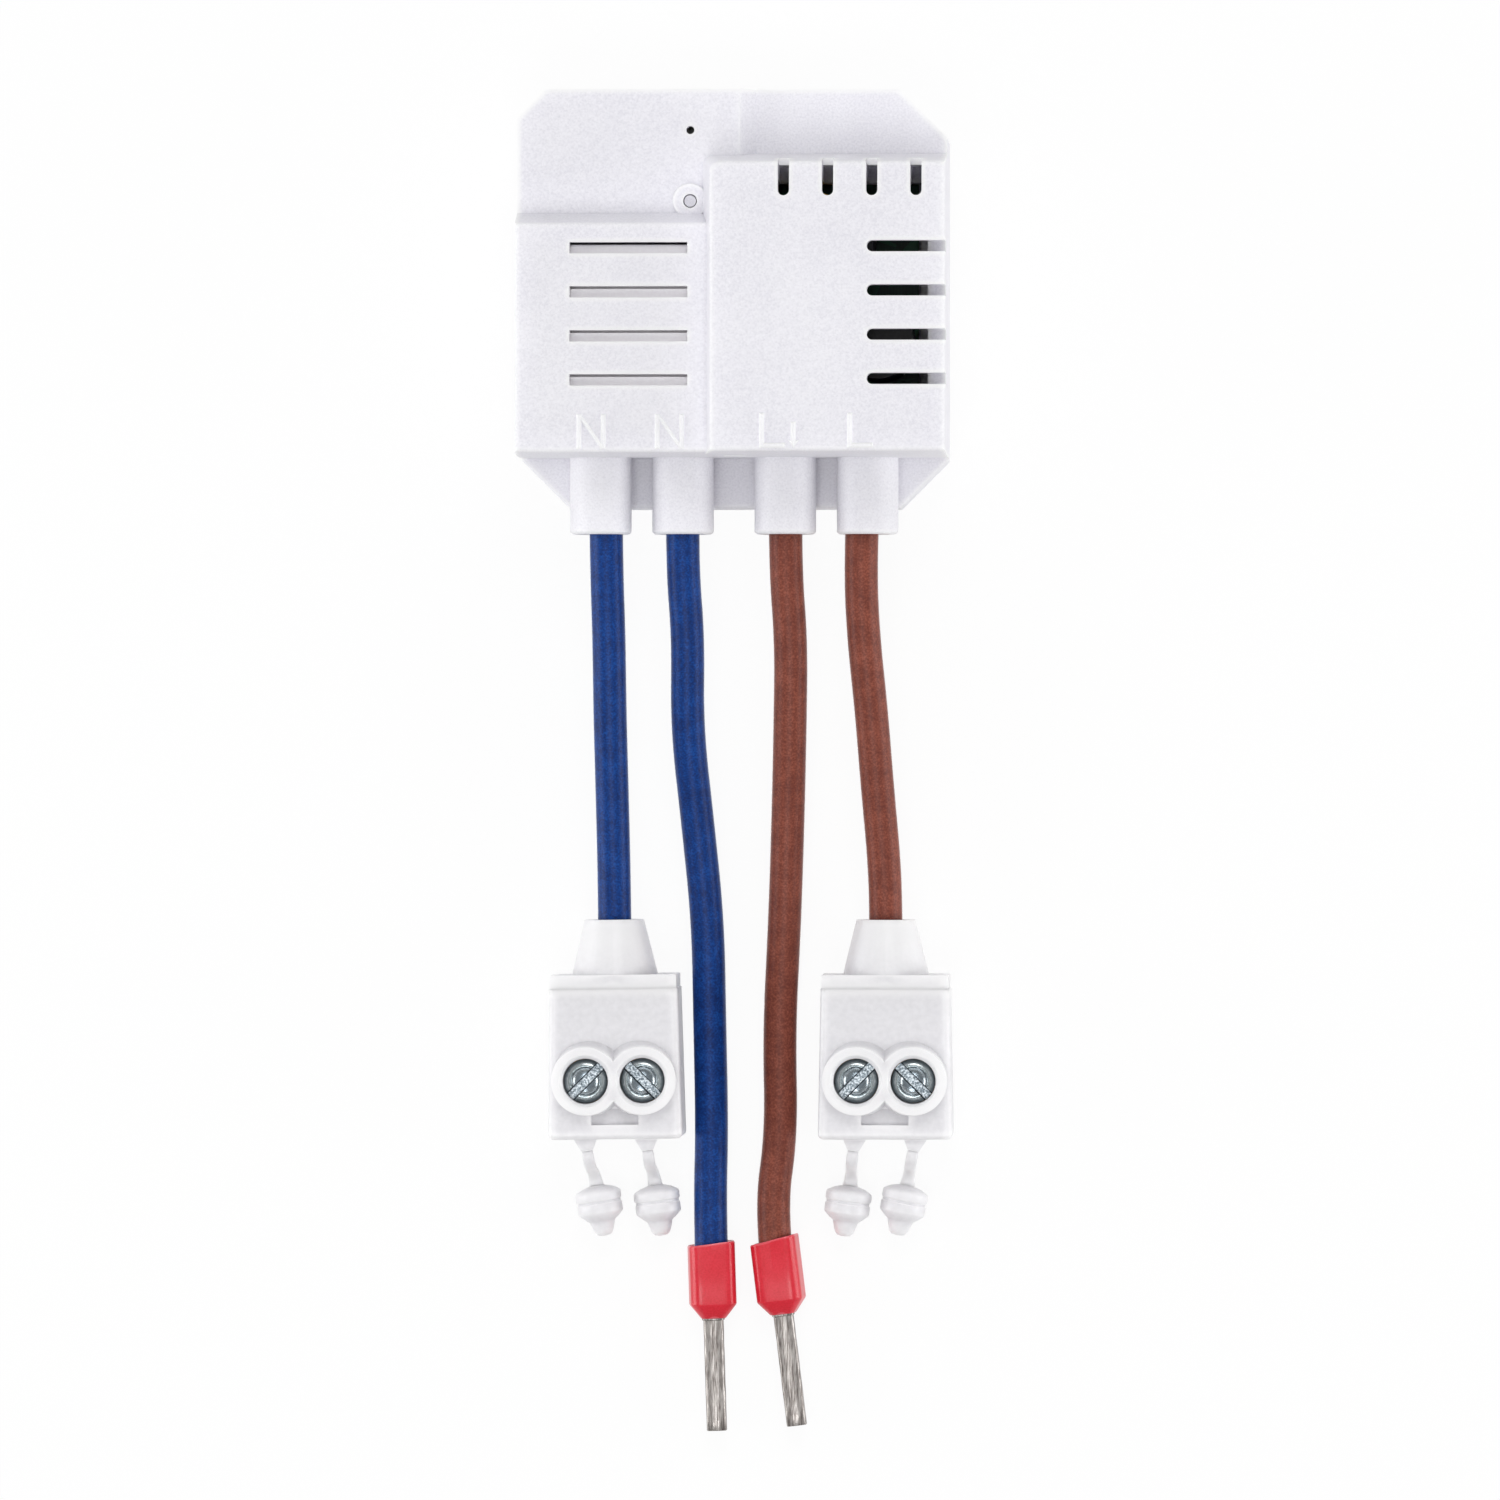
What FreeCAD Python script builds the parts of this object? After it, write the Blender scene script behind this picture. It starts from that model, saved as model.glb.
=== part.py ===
"""In-wall relay insert with four leads, two ferrules and two screw connectors, in millimetres.

The insert lies on its flat back: +Z points out of the wall, +Y away from the leads, and the origin is
under the middle of the housing, sleeves included. Each named piece is written to parts/ as STEP.
"""
import FreeCAD, Part
import Sketcher
import math
import os
import re

Vector = FreeCAD.Vector
Rotation = FreeCAD.Rotation

# Driving dimensions: alias, value in millimetres or degrees, meaning.
SIZES = [
    # Housing
    ("housing_width", 38.2, "housing across its side walls"),
    ("housing_length", 37.15, "housing without its sleeves"),
    ("corner_cut", 4.3, "bevel of three corners of the outline"),
    ("small_cut", 2.6, "bevel of the corner beside the radio"),
    ("wall", 1.6, "walls and skins of the cover and shell"),
    ("shell_floor", 1.5, "floor of the rear shell"),
    ("split_level", 5.0, "parting line over the flat back"),
    ("ledge_level", 6.0, "ledge that carries the sleeves"),
    ("ledge_depth", 4.5, "how far the ledge stands out"),
    ("low_step", 12.0, "lowest front step"),
    ("mid_step", 13.5, "front step with the button"),
    ("relay_level", 17.5, "front of the block over the relay"),
    ("supply_level", 20.5, "front of the block over the power supply"),
    ("step_ridge", 0.73, "edge of the middle step, right of centre"),
    ("step_run", 1.36, "width of the slope beside that edge"),
    ("relay_top", 8.73, "foot of the relay block's sloped wall, over centre"),
    ("relay_slope", 1.08, "run of that wall"),
    ("supply_top", 14.05, "foot of the supply block's top wall, over centre"),
    ("supply_side", 2.76, "foot of its side wall, left of centre"),
    ("supply_slope", 1.08, "run of both those walls"),
    ("lower_draft", 0.3, "draft of the walls over the ledge"),
    ("edge_round", 0.35, "rounding of the moulded edges"),
    ("corner_round", 1.0, "rounding of the supply block's corner"),
    # Lead sleeves
    ("sleeve_reach", 2.35, "sleeves beyond the ledge"),
    ("sleeve_radius", 2.75, "outside of a sleeve"),
    ("sleeve_bore", 2.0, "inside of a sleeve"),
    ("sleeve_axis", 8.5, "axis of the sleeves over the flat back"),
    ("sleeve_inner", 4.57, "inner sleeves, from the middle"),
    ("sleeve_outer", 11.92, "outer sleeves, from the middle"),
    # Vents
    ("vent_width", 1.0, "every vent slot"),
    ("vent_pitch", 3.9, "slot to slot"),
    ("vent_count", 4, "slots in each group"),
    ("vent_row", 5.48, "first row of slots, over centre"),
    ("relay_vent_left", 14.24, "left end of the relay slots, left of centre"),
    ("relay_vent_length", 10.45, "relay slots"),
    ("side_vent_tip", 12.68, "middle of the side slots' round end, right of centre"),
    ("top_vent_first", 4.83, "first top slot, right of centre"),
    ("top_vent_tip", 10.43, "middle of the top slots' round end, over centre"),
    ("vent_depth", 3.2, "how far the open slots cut into the wall"),
    ("vent_lip", 0.2, "wall past the channels under the top slots"),
    ("vent_channel", 7.5, "depth of those channels inside the wall"),
    # Button, light and terminal marks
    ("button_x", 3.7, "button and light, left of centre"),
    ("button_y", 9.78, "button, over centre"),
    ("boss_radius", 1.58, "raised ring round the button"),
    ("boss_height", 0.45, "height of that ring"),
    ("boss_round", 0.15, "rounding of its rim"),
    ("button_radius", 0.52, "button pin"),
    ("button_gap", 0.09, "gap round the button pin"),
    ("button_flange", 1.1, "flange that keeps the button in"),
    ("button_flange_height", 0.5, "thickness of that flange"),
    ("button_play", 0.2, "flange under the inside of the cover"),
    ("button_travel", 0.25, "how far the button goes in"),
    ("light_gap", 3.65, "light hole from the upper edge"),
    ("light_radius", 0.36, "light hole"),
    ("mark_height", 3.1, "height of the terminal letters"),
    ("mark_base", 0.55, "foot of the letters over the lower wall"),
    ("mark_stroke", 0.46, "stroke of the letters"),
    ("mark_raise", 0.22, "how far the letters stand up"),
    ("mark_bevel", 0.13, "bevelled edges of the letters"),
    ("neutral_mark_width", 2.62, "letter N"),
    ("neutral_mark_first", 13.62, "left edge of the first N, left of centre"),
    ("neutral_mark_second", 6.66, "left edge of the second N, left of centre"),
    ("line_mark_width", 2.3, "letter L"),
    ("line_mark_first", 2.69, "left edge of the first L, right of centre"),
    ("line_mark_second", 10.46, "left edge of the second L, right of centre"),
    ("arrow_x", 5.72, "arrow beside the first L, right of centre"),
    ("arrow_width", 0.95, "head of the arrow"),
    # Inside the housing
    ("rib_thickness", 0.8, "locating ribs of the rear shell"),
    ("rib_height", 1.2, "ribs over the parting line"),
    ("fit_gap", 0.05, "clearance between moulded parts that locate each other"),
    ("board_gap", 0.25, "clearance round the main board"),
    ("post_height", 1.9, "board posts over the floor"),
    ("post_radius", 1.5, "board posts"),
    ("post_x", 13.2, "board posts, from the middle"),
    ("post_y", 9.0, "board posts, over and under centre"),
    ("board_thickness", 1.2, "main board"),
    ("relay_skin", 1.0, "skin of the cover over the relay"),
    ("relay_side_gap", 1.2, "relay to the left wall"),
    ("relay_right", 1.9, "right end of the relay, right of centre"),
    ("relay_low_gap", 2.7, "relay to the wall over the ledge"),
    ("relay_top_gap", 0.25, "relay to the wall under the slope"),
    ("relay_roof_gap", 0.2, "relay under the skin"),
    ("relay_foot", 0.8, "relay base under the case"),
    ("relay_inset", 0.4, "base inside the outline of the case"),
    ("relay_pin_radius", 0.5, "relay pins"),
    ("relay_pin_reach", 0.8, "relay pins under the main board"),
    ("core_gap", 0.3, "transformer to the relay"),
    ("core_width", 10.4, "transformer core along X"),
    ("core_roof_gap", 1.9, "transformer under the cover"),
    ("core_top_gap", 0.92, "winding to the top wall of its block"),
    ("core_depth", 4.6, "transformer core along Y"),
    ("core_leg", 1.6, "outer legs and yokes of the core"),
    ("core_post", 2.0, "radius of the middle leg"),
    ("core_foot", 0.4, "core over the board"),
    ("winding_gap", 0.2, "winding to the outer legs of the core"),
    ("bulk_radius", 3.15, "mains capacitor"),
    ("bulk_gap", 0.4, "mains capacitor to the rib beside it"),
    ("bulk_roof_gap", 2.3, "mains capacitor under the cover"),
    ("bulk_low_gap", 0.5, "mains capacitor to the varistor"),
    ("output_radius", 2.0, "output capacitor"),
    ("output_height", 9.0, "output capacitor"),
    ("output_gap", 0.5, "output capacitor to the relay"),
    ("film_width", 5.4, "film capacitor along X"),
    ("film_depth", 3.2, "film capacitor along Y"),
    ("film_height", 8.0, "film capacitor"),
    ("film_gap", 1.1, "film capacitor to the relay"),
    ("film_low_gap", 2.7, "film capacitor to the wall over the ledge"),
    ("varistor_radius", 2.9, "varistor disc"),
    ("varistor_thickness", 2.2, "varistor disc"),
    ("varistor_gap", 0.35, "varistor to the rib beside it"),
    ("varistor_low_gap", 2.5, "varistor to the wall over the ledge"),
    ("fuse_radius", 1.4, "fuse resistor"),
    ("fuse_length", 6.5, "fuse resistor"),
    ("fuse_x", 5.0, "left end of the fuse resistor, right of centre"),
    ("fuse_gap", 0.7, "fuse resistor to the top rib"),
    ("chip_size", 2.5, "converter chip"),
    ("chip_height", 1.5, "converter chip"),
    ("chip_gap", 0.4, "converter chip to the fuse resistor"),
    ("radio_side_gap", 3.0, "radio board to the left wall"),
    ("radio_right", 1.0, "right end of the radio board, right of centre"),
    ("radio_low", 7.9, "radio board, over centre"),
    ("radio_top_gap", 0.85, "radio board to the top wall"),
    ("radio_thickness", 1.0, "radio board"),
    ("radio_drop", 2.3, "radio board's face under the inside of the middle step"),
    ("header_width", 2.5, "header between the boards along X"),
    ("header_length", 5.5, "header between the boards along Y"),
    ("shield_gap", 1.0, "radio shield to the tact switch"),
    ("shield_top_gap", 1.8, "radio shield to the board's upper edge"),
    ("shield_height", 1.6, "radio shield"),
    ("antenna_gap", 0.13, "antenna strip to the wall of the middle step"),
    ("antenna_height", 2.0, "antenna strip"),
    ("antenna_thickness", 0.3, "antenna strip"),
    ("lamp_size", 0.9, "status light"),
    ("switch_size", 3.4, "tact switch"),
    ("switch_height", 1.3, "tact switch"),
    ("plunger_radius", 0.7, "plunger of the tact switch"),
    ("plunger_depth", 0.7, "plunger inside the switch"),
    # Leads inside the housing
    ("lead_radius", 1.5, "insulation of the leads"),
    ("conductor_radius", 0.7, "bared conductor"),
    ("lead_join", 1.5, "inner and outer stretch of a lead meet this deep in the sleeve"),
    ("lead_gap", 0.07, "room between them for the outer stretch to lean"),
    ("lead_inner", 4.6, "inner leads, from the middle"),
    ("lead_outer", 11.45, "outer leads, from the middle"),
    ("lead_bare", 0.3, "insulation inside the cavity"),
    ("conductor_bend", 1.0, "bend of the bared conductor"),
    ("solder_radius", 1.0, "solder joint on the board"),
    ("solder_height", 0.9, "solder joint on the board"),
    # Ferrules
    ("collar_radius", 2.1, "collar of a ferrule"),
    ("collar_bore", 1.6, "mouth of the collar"),
    ("collar_length", 6.75, "collar"),
    ("collar_taper", 1.2, "tapered end of the collar"),
    ("collar_tip", 1.12, "radius of that end"),
    ("collar_seat", 2.8, "depth of the mouth"),
    ("collar_round", 0.25, "rounded mouth of the collar"),
    ("pin_radius", 0.9, "pin of a ferrule"),
    ("pin_root_radius", 0.72, "its waist, gripped inside the collar"),
    ("pin_gap", 0.01, "collar round that tube"),
    ("pin_length", 10.1, "pin beyond the collar"),
    ("first_mouth_x", -2.35, "collar mouth on the blue lead"),
    ("first_mouth_y", -83.32, "collar mouth on the blue lead"),
    ("first_lean", 1.84, "that ferrule turned from the Y axis"),
    ("second_mouth_x", 3.33, "collar mouth on the brown lead"),
    ("second_mouth_y", -82.96, "collar mouth on the brown lead"),
    ("second_lean", 7.0, "that ferrule turned from the Y axis"),
    # Screw connectors
    ("left_x", -10.85, "left connector"),
    ("left_turn", 0.8, "left connector turned from the Y axis"),
    ("right_x", 13.45, "right connector"),
    ("right_turn", 0.0, "right connector turned from the Y axis"),
    ("connector_y", -60.35, "joint between hood and body"),
    ("body_length", 13.45, "connector body"),
    ("body_width", 11.5, "connector body at the hood"),
    ("foot_width", 12.0, "connector body at its lower end"),
    ("body_height", 8.4, "connector body"),
    ("body_round", 0.5, "rounding of the body"),
    ("hood_flange", 1.25, "flange of the hood"),
    ("hood_inset", 0.1, "flange inside the outline of the body"),
    ("cone_length", 4.9, "cone of the hood"),
    ("cone_foot", 3.85, "cone at the flange"),
    ("cone_tip", 2.65, "cone at its tip"),
    ("cone_wall", 0.7, "wall of the cone"),
    ("entry_axis", 4.3, "axis of the lead over the table"),
    ("pole_half", 2.54, "each pole from the connector's middle"),
    ("pole_depth", 8.2, "screws from the hood"),
    ("tower_foot", 3.43, "tower at the body"),
    ("tower_rim", 3.05, "tower at its rim"),
    ("tower_gather", 0.43, "tower foot nearer the middle than the rim"),
    ("tower_lead", 0.3, "tower foot nearer the hood than the rim"),
    ("tower_height", 1.3, "towers over the body"),
    ("well_radius", 2.03, "well of a screw"),
    ("well_funnel", 0.3, "bevel at the mouth of a well"),
    ("block_floor", 1.2, "clamp block over the table"),
    ("block_height", 5.0, "clamp block"),
    ("block_width", 9.6, "clamp block"),
    ("block_start", 1.0, "clamp block from the hood"),
    ("core_start", 0.55, "bared end of the lead, inside the flange"),
    ("block_end", 1.2, "wall between clamp block and wire entry"),
    ("chamber_width", 2.9, "wire chamber"),
    ("chamber_height", 3.3, "wire chamber"),
    ("chamber_floor", 0.6, "clamp block under the wire chamber"),
    ("chamber_depth", 7.8, "wire chamber"),
    ("thread_gap", 0.05, "clearance round the screw thread and head"),
    ("screw_radius", 1.45, "thread of a screw"),
    ("head_radius", 1.97, "head of a screw"),
    ("head_height", 1.5, "head of a screw"),
    ("head_seat", 0.1, "closed screw head over the clamp block"),
    ("slot_width", 1.0, "slot of a screw"),
    ("slot_depth", 0.8, "slot of a screw"),
    ("slot_turn", 45.0, "slots turned from the X axis"),
    ("dimple_radius", 1.3, "dimple in a screw head"),
    ("dimple_depth", 0.2, "dimple in a screw head"),
    ("screw_travel", 1.2, "how far a screw goes in"),
    ("plate_width", 2.7, "pressure plate"),
    ("plate_length", 4.6, "pressure plate"),
    ("plate_thickness", 0.5, "pressure plate"),
    ("plate_gap", 0.1, "open plate under the roof of its chamber"),
    ("entry_radius", 1.25, "wire entry hole"),
    ("window_width", 4.23, "recess under the towers"),
    ("window_height", 1.45, "recess under the towers"),
    ("window_gap", 1.3, "recess from the lower end"),
    ("window_depth", 0.6, "recess under the towers"),
    # Captive caps
    ("strap_half", 2.72, "each strap from the connector's middle"),
    ("strap_level", 7.3, "strap root over the table"),
    ("strap_width", 1.05, "strap"),
    ("strap_flare", 0.5, "how much wider the root is on each side"),
    ("strap_foot", 1.0, "root on the body"),
    ("strap_knuckle", 0.34, "round end of the strap, radius"),
    ("strap_gap", 0.05, "root to that round end"),
    ("strap_thickness", 0.6, "strap"),
    ("strap_bend", 1.2, "bends of the strap"),
    ("strap_reach", 4.35, "body to the cap"),
    ("cap_radius", 2.08, "cap"),
    ("cap_top", 0.55, "cone of the cap round the strap"),
    ("cap_rim", 0.85, "first ring of the cap"),
    ("cap_groove", 0.3, "groove between the rings"),
    ("cap_groove_depth", 0.12, "groove between the rings"),
    ("cap_plug", 0.8, "second ring of the cap"),
    ("cap_bevel", 0.7, "taper from that ring to the stud"),
    ("cap_plug_radius", 2.0, "second ring of the cap"),
    ("stud_radius", 1.05, "stud of the cap"),
    ("stud_tip", 0.75, "stud at its end"),
    ("stud_length", 1.4, "stud of the cap"),
    ("cap_lift", 0.05, "cap over the table"),
    ("lean_first", 9.5, "caps turned from the Y axis, left to right"),
    ("lean_second", 7.5, "second cap"),
    ("lean_third", -7.5, "third cap"),
    ("lean_fourth", -11.5, "fourth cap"),
]

doc = FreeCAD.newDocument("relay_insert")
sheet = doc.addObject("Spreadsheet::Sheet", "Sizes")
for row, (alias, value, meaning) in enumerate(SIZES, start=1):
    sheet.set(f"A{row}", meaning)
    sheet.set(f"B{row}", str(value))
    sheet.setAlias(f"B{row}", alias)
doc.recompute()
ALIAS = re.compile(r"\b(" + "|".join(alias for alias, value, meaning in SIZES) + r")\b")
pieces = []


def linked(text):
    """Turn a formula in plain size names into one that reads the sheet."""
    return ALIAS.sub(r"Sizes.\1", text)


def size(text):
    """The present value of a formula in size names."""
    return float(sheet.evalExpression(linked(text)))


def bind(feature, prop, text):
    feature.setExpression(prop, linked(text))


def new_body(label):
    body = doc.addObject("PartDesign::Body", label)
    body.Label = label
    pieces.append(body)
    return body


def sketch_on(body, name, plane="XY_Plane", shift="0"):
    """A sketch on one of the body's own planes, moved along that plane's normal."""
    sketch = body.newObject("Sketcher::SketchObject", name)
    origin_plane = next(item for item in body.Origin.OriginFeatures if item.Role == plane)
    sketch.AttachmentSupport = [(origin_plane, "")]
    sketch.MapMode = "FlatFace"
    bind(sketch, "AttachmentOffset.Base.z", shift)
    return sketch


def pin_point(sketch, geometry, end, x, y):
    """Fix one point of the sketch by its two coordinates."""
    for kind, text in (("DistanceX", x), ("DistanceY", y)):
        index = sketch.addConstraint(Sketcher.Constraint(kind, -1, 1, geometry, end, size(text)))
        bind(sketch, f"Constraints[{index}]", text)


def polygon(sketch, corners):
    first = sketch.GeometryCount
    points = [Vector(size(x), size(y), 0) for x, y in corners]
    for here, there in zip(points, points[1:] + points[:1]):
        sketch.addGeometry(Part.LineSegment(here, there), False)
    for index, (x, y) in enumerate(corners):
        following = first + (index + 1) % len(corners)
        sketch.addConstraint(Sketcher.Constraint("Coincident", first + index, 2, following, 1))
        pin_point(sketch, first + index, 1, x, y)


def rectangle(sketch, low_x, low_y, high_x, high_y):
    polygon(sketch, [(low_x, low_y), (high_x, low_y), (high_x, high_y), (low_x, high_y)])


def circle(sketch, x, y, radius):
    centre = Vector(size(x), size(y), 0)
    index = sketch.addGeometry(Part.Circle(centre, Vector(0, 0, 1), size(radius)), False)
    pin_point(sketch, index, 3, x, y)
    constraint = sketch.addConstraint(Sketcher.Constraint("Radius", index, size(radius)))
    bind(sketch, f"Constraints[{constraint}]", radius)


def pad(body, sketch, length, name):
    feature = body.newObject("PartDesign::Pad", name)
    feature.Profile = sketch
    bind(feature, "Length", length)
    doc.recompute()
    return feature


def pocket(body, sketch, length, name, backward=False):
    """Cut against the sketch's normal, or along it if backward is set."""
    feature = body.newObject("PartDesign::Pocket", name)
    feature.Profile = sketch
    bind(feature, "Length", length)
    feature.Reversed = backward
    doc.recompute()
    return feature


def loft(body, lower, upper, name):
    feature = body.newObject("PartDesign::AdditiveLoft", name)
    feature.Profile = lower
    feature.Sections = [upper]
    feature.Ruled = True
    doc.recompute()
    return feature


def revolve(body, sketch, axis, name):
    feature = body.newObject("PartDesign::Revolution", name)
    feature.Profile = sketch
    feature.ReferenceAxis = (sketch, [axis])
    feature.Angle = 360
    doc.recompute()
    return feature


def row_of(body, features, sketch, axis, backward, name):
    """Repeat features in a row at the pitch of the vents."""
    pattern = body.newObject("PartDesign::LinearPattern", name)
    pattern.Originals = features
    pattern.Direction = (sketch, [axis])
    pattern.Reversed = backward
    bind(pattern, "Length", "vent_pitch * (vent_count - 1)")
    bind(pattern, "Occurrences", "vent_count")
    body.Tip = pattern
    doc.recompute()
    return pattern


def round_edges(body, feature, test, radius, name, kind="PartDesign::Fillet"):
    """Round, or bevel, the edges of a feature whose middle point and box pass the test."""
    names = []
    for index, edge in enumerate(feature.Shape.Edges, start=1):
        low, high = edge.ParameterRange
        if test(edge.valueAt((low + high) / 2), edge.BoundBox):
            names.append(f"Edge{index}")
    dressing = body.newObject(kind, name)
    dressing.Base = (feature, names)
    bind(dressing, "Radius" if kind.endswith("Fillet") else "Size", radius)
    doc.recompute()
    return dressing


def near(first, second, margin=0.02):
    return abs(first - second) < margin


# Outline of the housing: the flats, and the same outline moved inwards for cavities and the board.
SIDE = "housing_width / 2"
TOP = "(housing_length + sleeve_reach) / 2"
LOW = f"({TOP} - housing_length)"
WALL_FACE = f"({LOW} + ledge_depth)"
SLEEVE_END = f"({LOW} - sleeve_reach)"
BEVEL_SHARE = 2 - math.sqrt(2)


def outline(inset="0", low=None):
    """Corners of the housing's outline, moved inwards, cut straight at low where that is given."""
    side = f"({SIDE} - {inset})"
    top = f"({TOP} - {inset})"
    cut = f"(corner_cut - {inset} * {BEVEL_SHARE})"
    small = f"(small_cut - {inset} * {BEVEL_SHARE})"
    upper = [
        (f"-{side}", f"{top} - {small}"),
        (f"{small} - {side}", top),
        (f"{side} - {cut}", top),
        (side, f"{top} - {cut}"),
    ]
    if low is not None:
        return upper + [(side, low), (f"-{side}", low)]
    floor = f"({LOW} + {inset})"
    return upper + [
        (side, f"{floor} + {cut}"),
        (f"{side} - {cut}", floor),
        (f"{cut} - {side}", floor),
        (f"-{side}", f"{floor} + {cut}"),
    ]


def left_outline(right, low, inset="0"):
    """Left part of the outline, cut straight at right and at low."""
    corners = outline(inset)
    return [corners[0], corners[1], (right, corners[1][1]), (right, low), (corners[0][0], low)]


# Front cover: one moulding with the stepped front, the ledge and the four lead sleeves.
cover = new_body("front_cover")
skirt_sketch = sketch_on(cover, "cover_skirt_outline", shift="split_level")
polygon(skirt_sketch, outline())
pad(cover, skirt_sketch, "ledge_level - split_level", "cover_skirt")

low_sketch = sketch_on(cover, "low_step_outline", shift="split_level")
polygon(low_sketch, outline(low=WALL_FACE))
pad(cover, low_sketch, "low_step - split_level", "low_step")

mid_foot = sketch_on(cover, "mid_step_foot", shift="low_step")
polygon(mid_foot, left_outline("step_ridge + step_run", WALL_FACE))
mid_head = sketch_on(cover, "mid_step_head", shift="mid_step")
polygon(mid_head, left_outline("step_ridge", WALL_FACE))
loft(cover, mid_foot, mid_head, "mid_step_block")

DRAFT_FACE = f"{WALL_FACE} + lower_draft"
SUPPLY_LEFT = "(supply_side - supply_slope)"
relay_foot_sketch = sketch_on(cover, "relay_block_foot", shift="mid_step")
rectangle(relay_foot_sketch, f"-{SIDE}", WALL_FACE, f"corner_round - {SUPPLY_LEFT}", "relay_top")
relay_head = sketch_on(cover, "relay_block_head", shift="relay_level")
rectangle(relay_head, f"-{SIDE}", DRAFT_FACE, f"corner_round - {SUPPLY_LEFT}", "relay_top - relay_slope")
relay_block = loft(cover, relay_foot_sketch, relay_head, "relay_block")
relay_height = size("relay_level")
relay_edges = round_edges(
    cover,
    relay_block,
    lambda middle, box: near(middle.z, relay_height) and middle.x < 0,
    "edge_round",
    "relay_block_edges",
)

supply_foot = sketch_on(cover, "supply_block_foot", shift="low_step")
rectangle(supply_foot, "-supply_side", WALL_FACE, SIDE, "supply_top")
supply_head = sketch_on(cover, "supply_block_head", shift="supply_level")
rectangle(supply_head, f"-{SUPPLY_LEFT}", DRAFT_FACE, SIDE, "supply_top - supply_slope")
supply_block = loft(cover, supply_foot, supply_head, "supply_block")
supply_height = size("supply_level")
corner_x = -size("supply_side - supply_slope / 2")
corner_y = size("supply_top - supply_slope / 2")
corner_reach = size("supply_slope")
supply_corner = round_edges(
    cover,
    supply_block,
    lambda middle, box: near(box.ZMax, supply_height)
    and box.ZLength > corner_reach
    and abs(middle.x - corner_x) < corner_reach
    and abs(middle.y - corner_y) < corner_reach,
    "corner_round",
    "supply_block_corner",
)
supply_edges = round_edges(
    cover,
    supply_corner,
    lambda middle, box: near(middle.z, supply_height),
    "edge_round",
    "supply_block_edges",
)

ledge_height = size("ledge_level")
wall_y = size(WALL_FACE)
ledge_edges = round_edges(
    cover,
    supply_edges,
    lambda middle, box: near(middle.z, ledge_height) and middle.y < wall_y - 0.2,
    "edge_round",
    "ledge_edges",
)

boss_sketch = sketch_on(cover, "button_boss_outline", shift="mid_step - wall / 2")
circle(boss_sketch, "-button_x", "button_y", "boss_radius")
boss = pad(cover, boss_sketch, "boss_height + wall / 2", "button_boss")
boss_top = size("mid_step + boss_height")
boss_box = size("boss_radius * 2.5")
round_edges(
    cover,
    boss,
    lambda middle, box: near(box.ZMin, boss_top) and near(box.ZMax, boss_top) and box.XLength < boss_box,
    "boss_round",
    "boss_rim",
)

SLEEVE_X = ["-sleeve_outer", "-sleeve_inner", "sleeve_inner", "sleeve_outer"]
sleeve_sketch = sketch_on(cover, "sleeve_outline", "XZ_Plane", f"-({WALL_FACE} + wall / 2)")
for x in SLEEVE_X:
    circle(sleeve_sketch, x, "sleeve_axis", "sleeve_radius")
sleeves = pad(cover, sleeve_sketch, "wall / 2 + ledge_depth + sleeve_reach", "sleeves")
sleeve_end = size(SLEEVE_END)
round_edges(
    cover,
    sleeves,
    lambda middle, box: near(middle.y, sleeve_end),
    "edge_round",
    "sleeve_ends",
)

cavity = sketch_on(cover, "cavity_outline", shift="split_level")
polygon(cavity, outline("wall", f"{WALL_FACE} + wall"))
pocket(cover, cavity, "low_step - wall - split_level", "cavity", backward=True)
mid_cavity = sketch_on(cover, "mid_cavity_outline", shift="split_level")
polygon(mid_cavity, left_outline("step_ridge - wall / 2", f"{WALL_FACE} + wall", "wall"))
pocket(cover, mid_cavity, "mid_step - wall - split_level", "mid_cavity", backward=True)
SUPPLY_INSIDE = f"(wall - {SUPPLY_LEFT})"
relay_cavity = sketch_on(cover, "relay_cavity_outline", shift="split_level")
rectangle(
    relay_cavity,
    f"wall - {SIDE}",
    f"{DRAFT_FACE} + wall",
    f"{SUPPLY_INSIDE} + wall / 2",
    "relay_top - relay_slope - wall",
)
pocket(cover, relay_cavity, "relay_level - relay_skin - split_level", "relay_cavity", backward=True)
supply_cavity = sketch_on(cover, "supply_cavity_outline", shift="split_level")
rectangle(
    supply_cavity,
    SUPPLY_INSIDE,
    f"{DRAFT_FACE} + wall",
    f"{SIDE} - wall",
    "supply_top - supply_slope - wall",
)
pocket(cover, supply_cavity, "supply_level - wall - split_level", "supply_cavity", backward=True)

bore_sketch = sketch_on(cover, "sleeve_bore_outline", "XZ_Plane", f"-{SLEEVE_END}")
for x in SLEEVE_X:
    circle(bore_sketch, x, "sleeve_axis", "sleeve_bore")
pocket(cover, bore_sketch, "sleeve_reach + ledge_depth + wall * 2", "sleeve_bores")

relay_vent = sketch_on(cover, "relay_vent_outline", shift="relay_level")
rectangle(
    relay_vent,
    "-relay_vent_left",
    "vent_row - vent_width / 2",
    "relay_vent_length - relay_vent_left",
    "vent_row + vent_width / 2",
)
relay_slot = pocket(cover, relay_vent, "wall * 1.5", "relay_vent")
row_of(cover, [relay_slot], relay_vent, "V_Axis", True, "relay_vents")


def open_slots(name, tip, rect, axis, backward):
    """Slots with one round end that run out through a side wall."""
    end_sketch = sketch_on(cover, f"{name}_end_outline", shift="supply_level")
    circle(end_sketch, tip[0], tip[1], "vent_width / 2")
    end_cut = pocket(cover, end_sketch, "vent_depth", f"{name}_end")
    slot_sketch = sketch_on(cover, f"{name}_outline", shift="supply_level")
    rectangle(slot_sketch, *rect)
    slot_cut = pocket(cover, slot_sketch, "vent_depth", name)
    row_of(cover, [end_cut, slot_cut], slot_sketch, axis, backward, f"{name}s")


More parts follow.
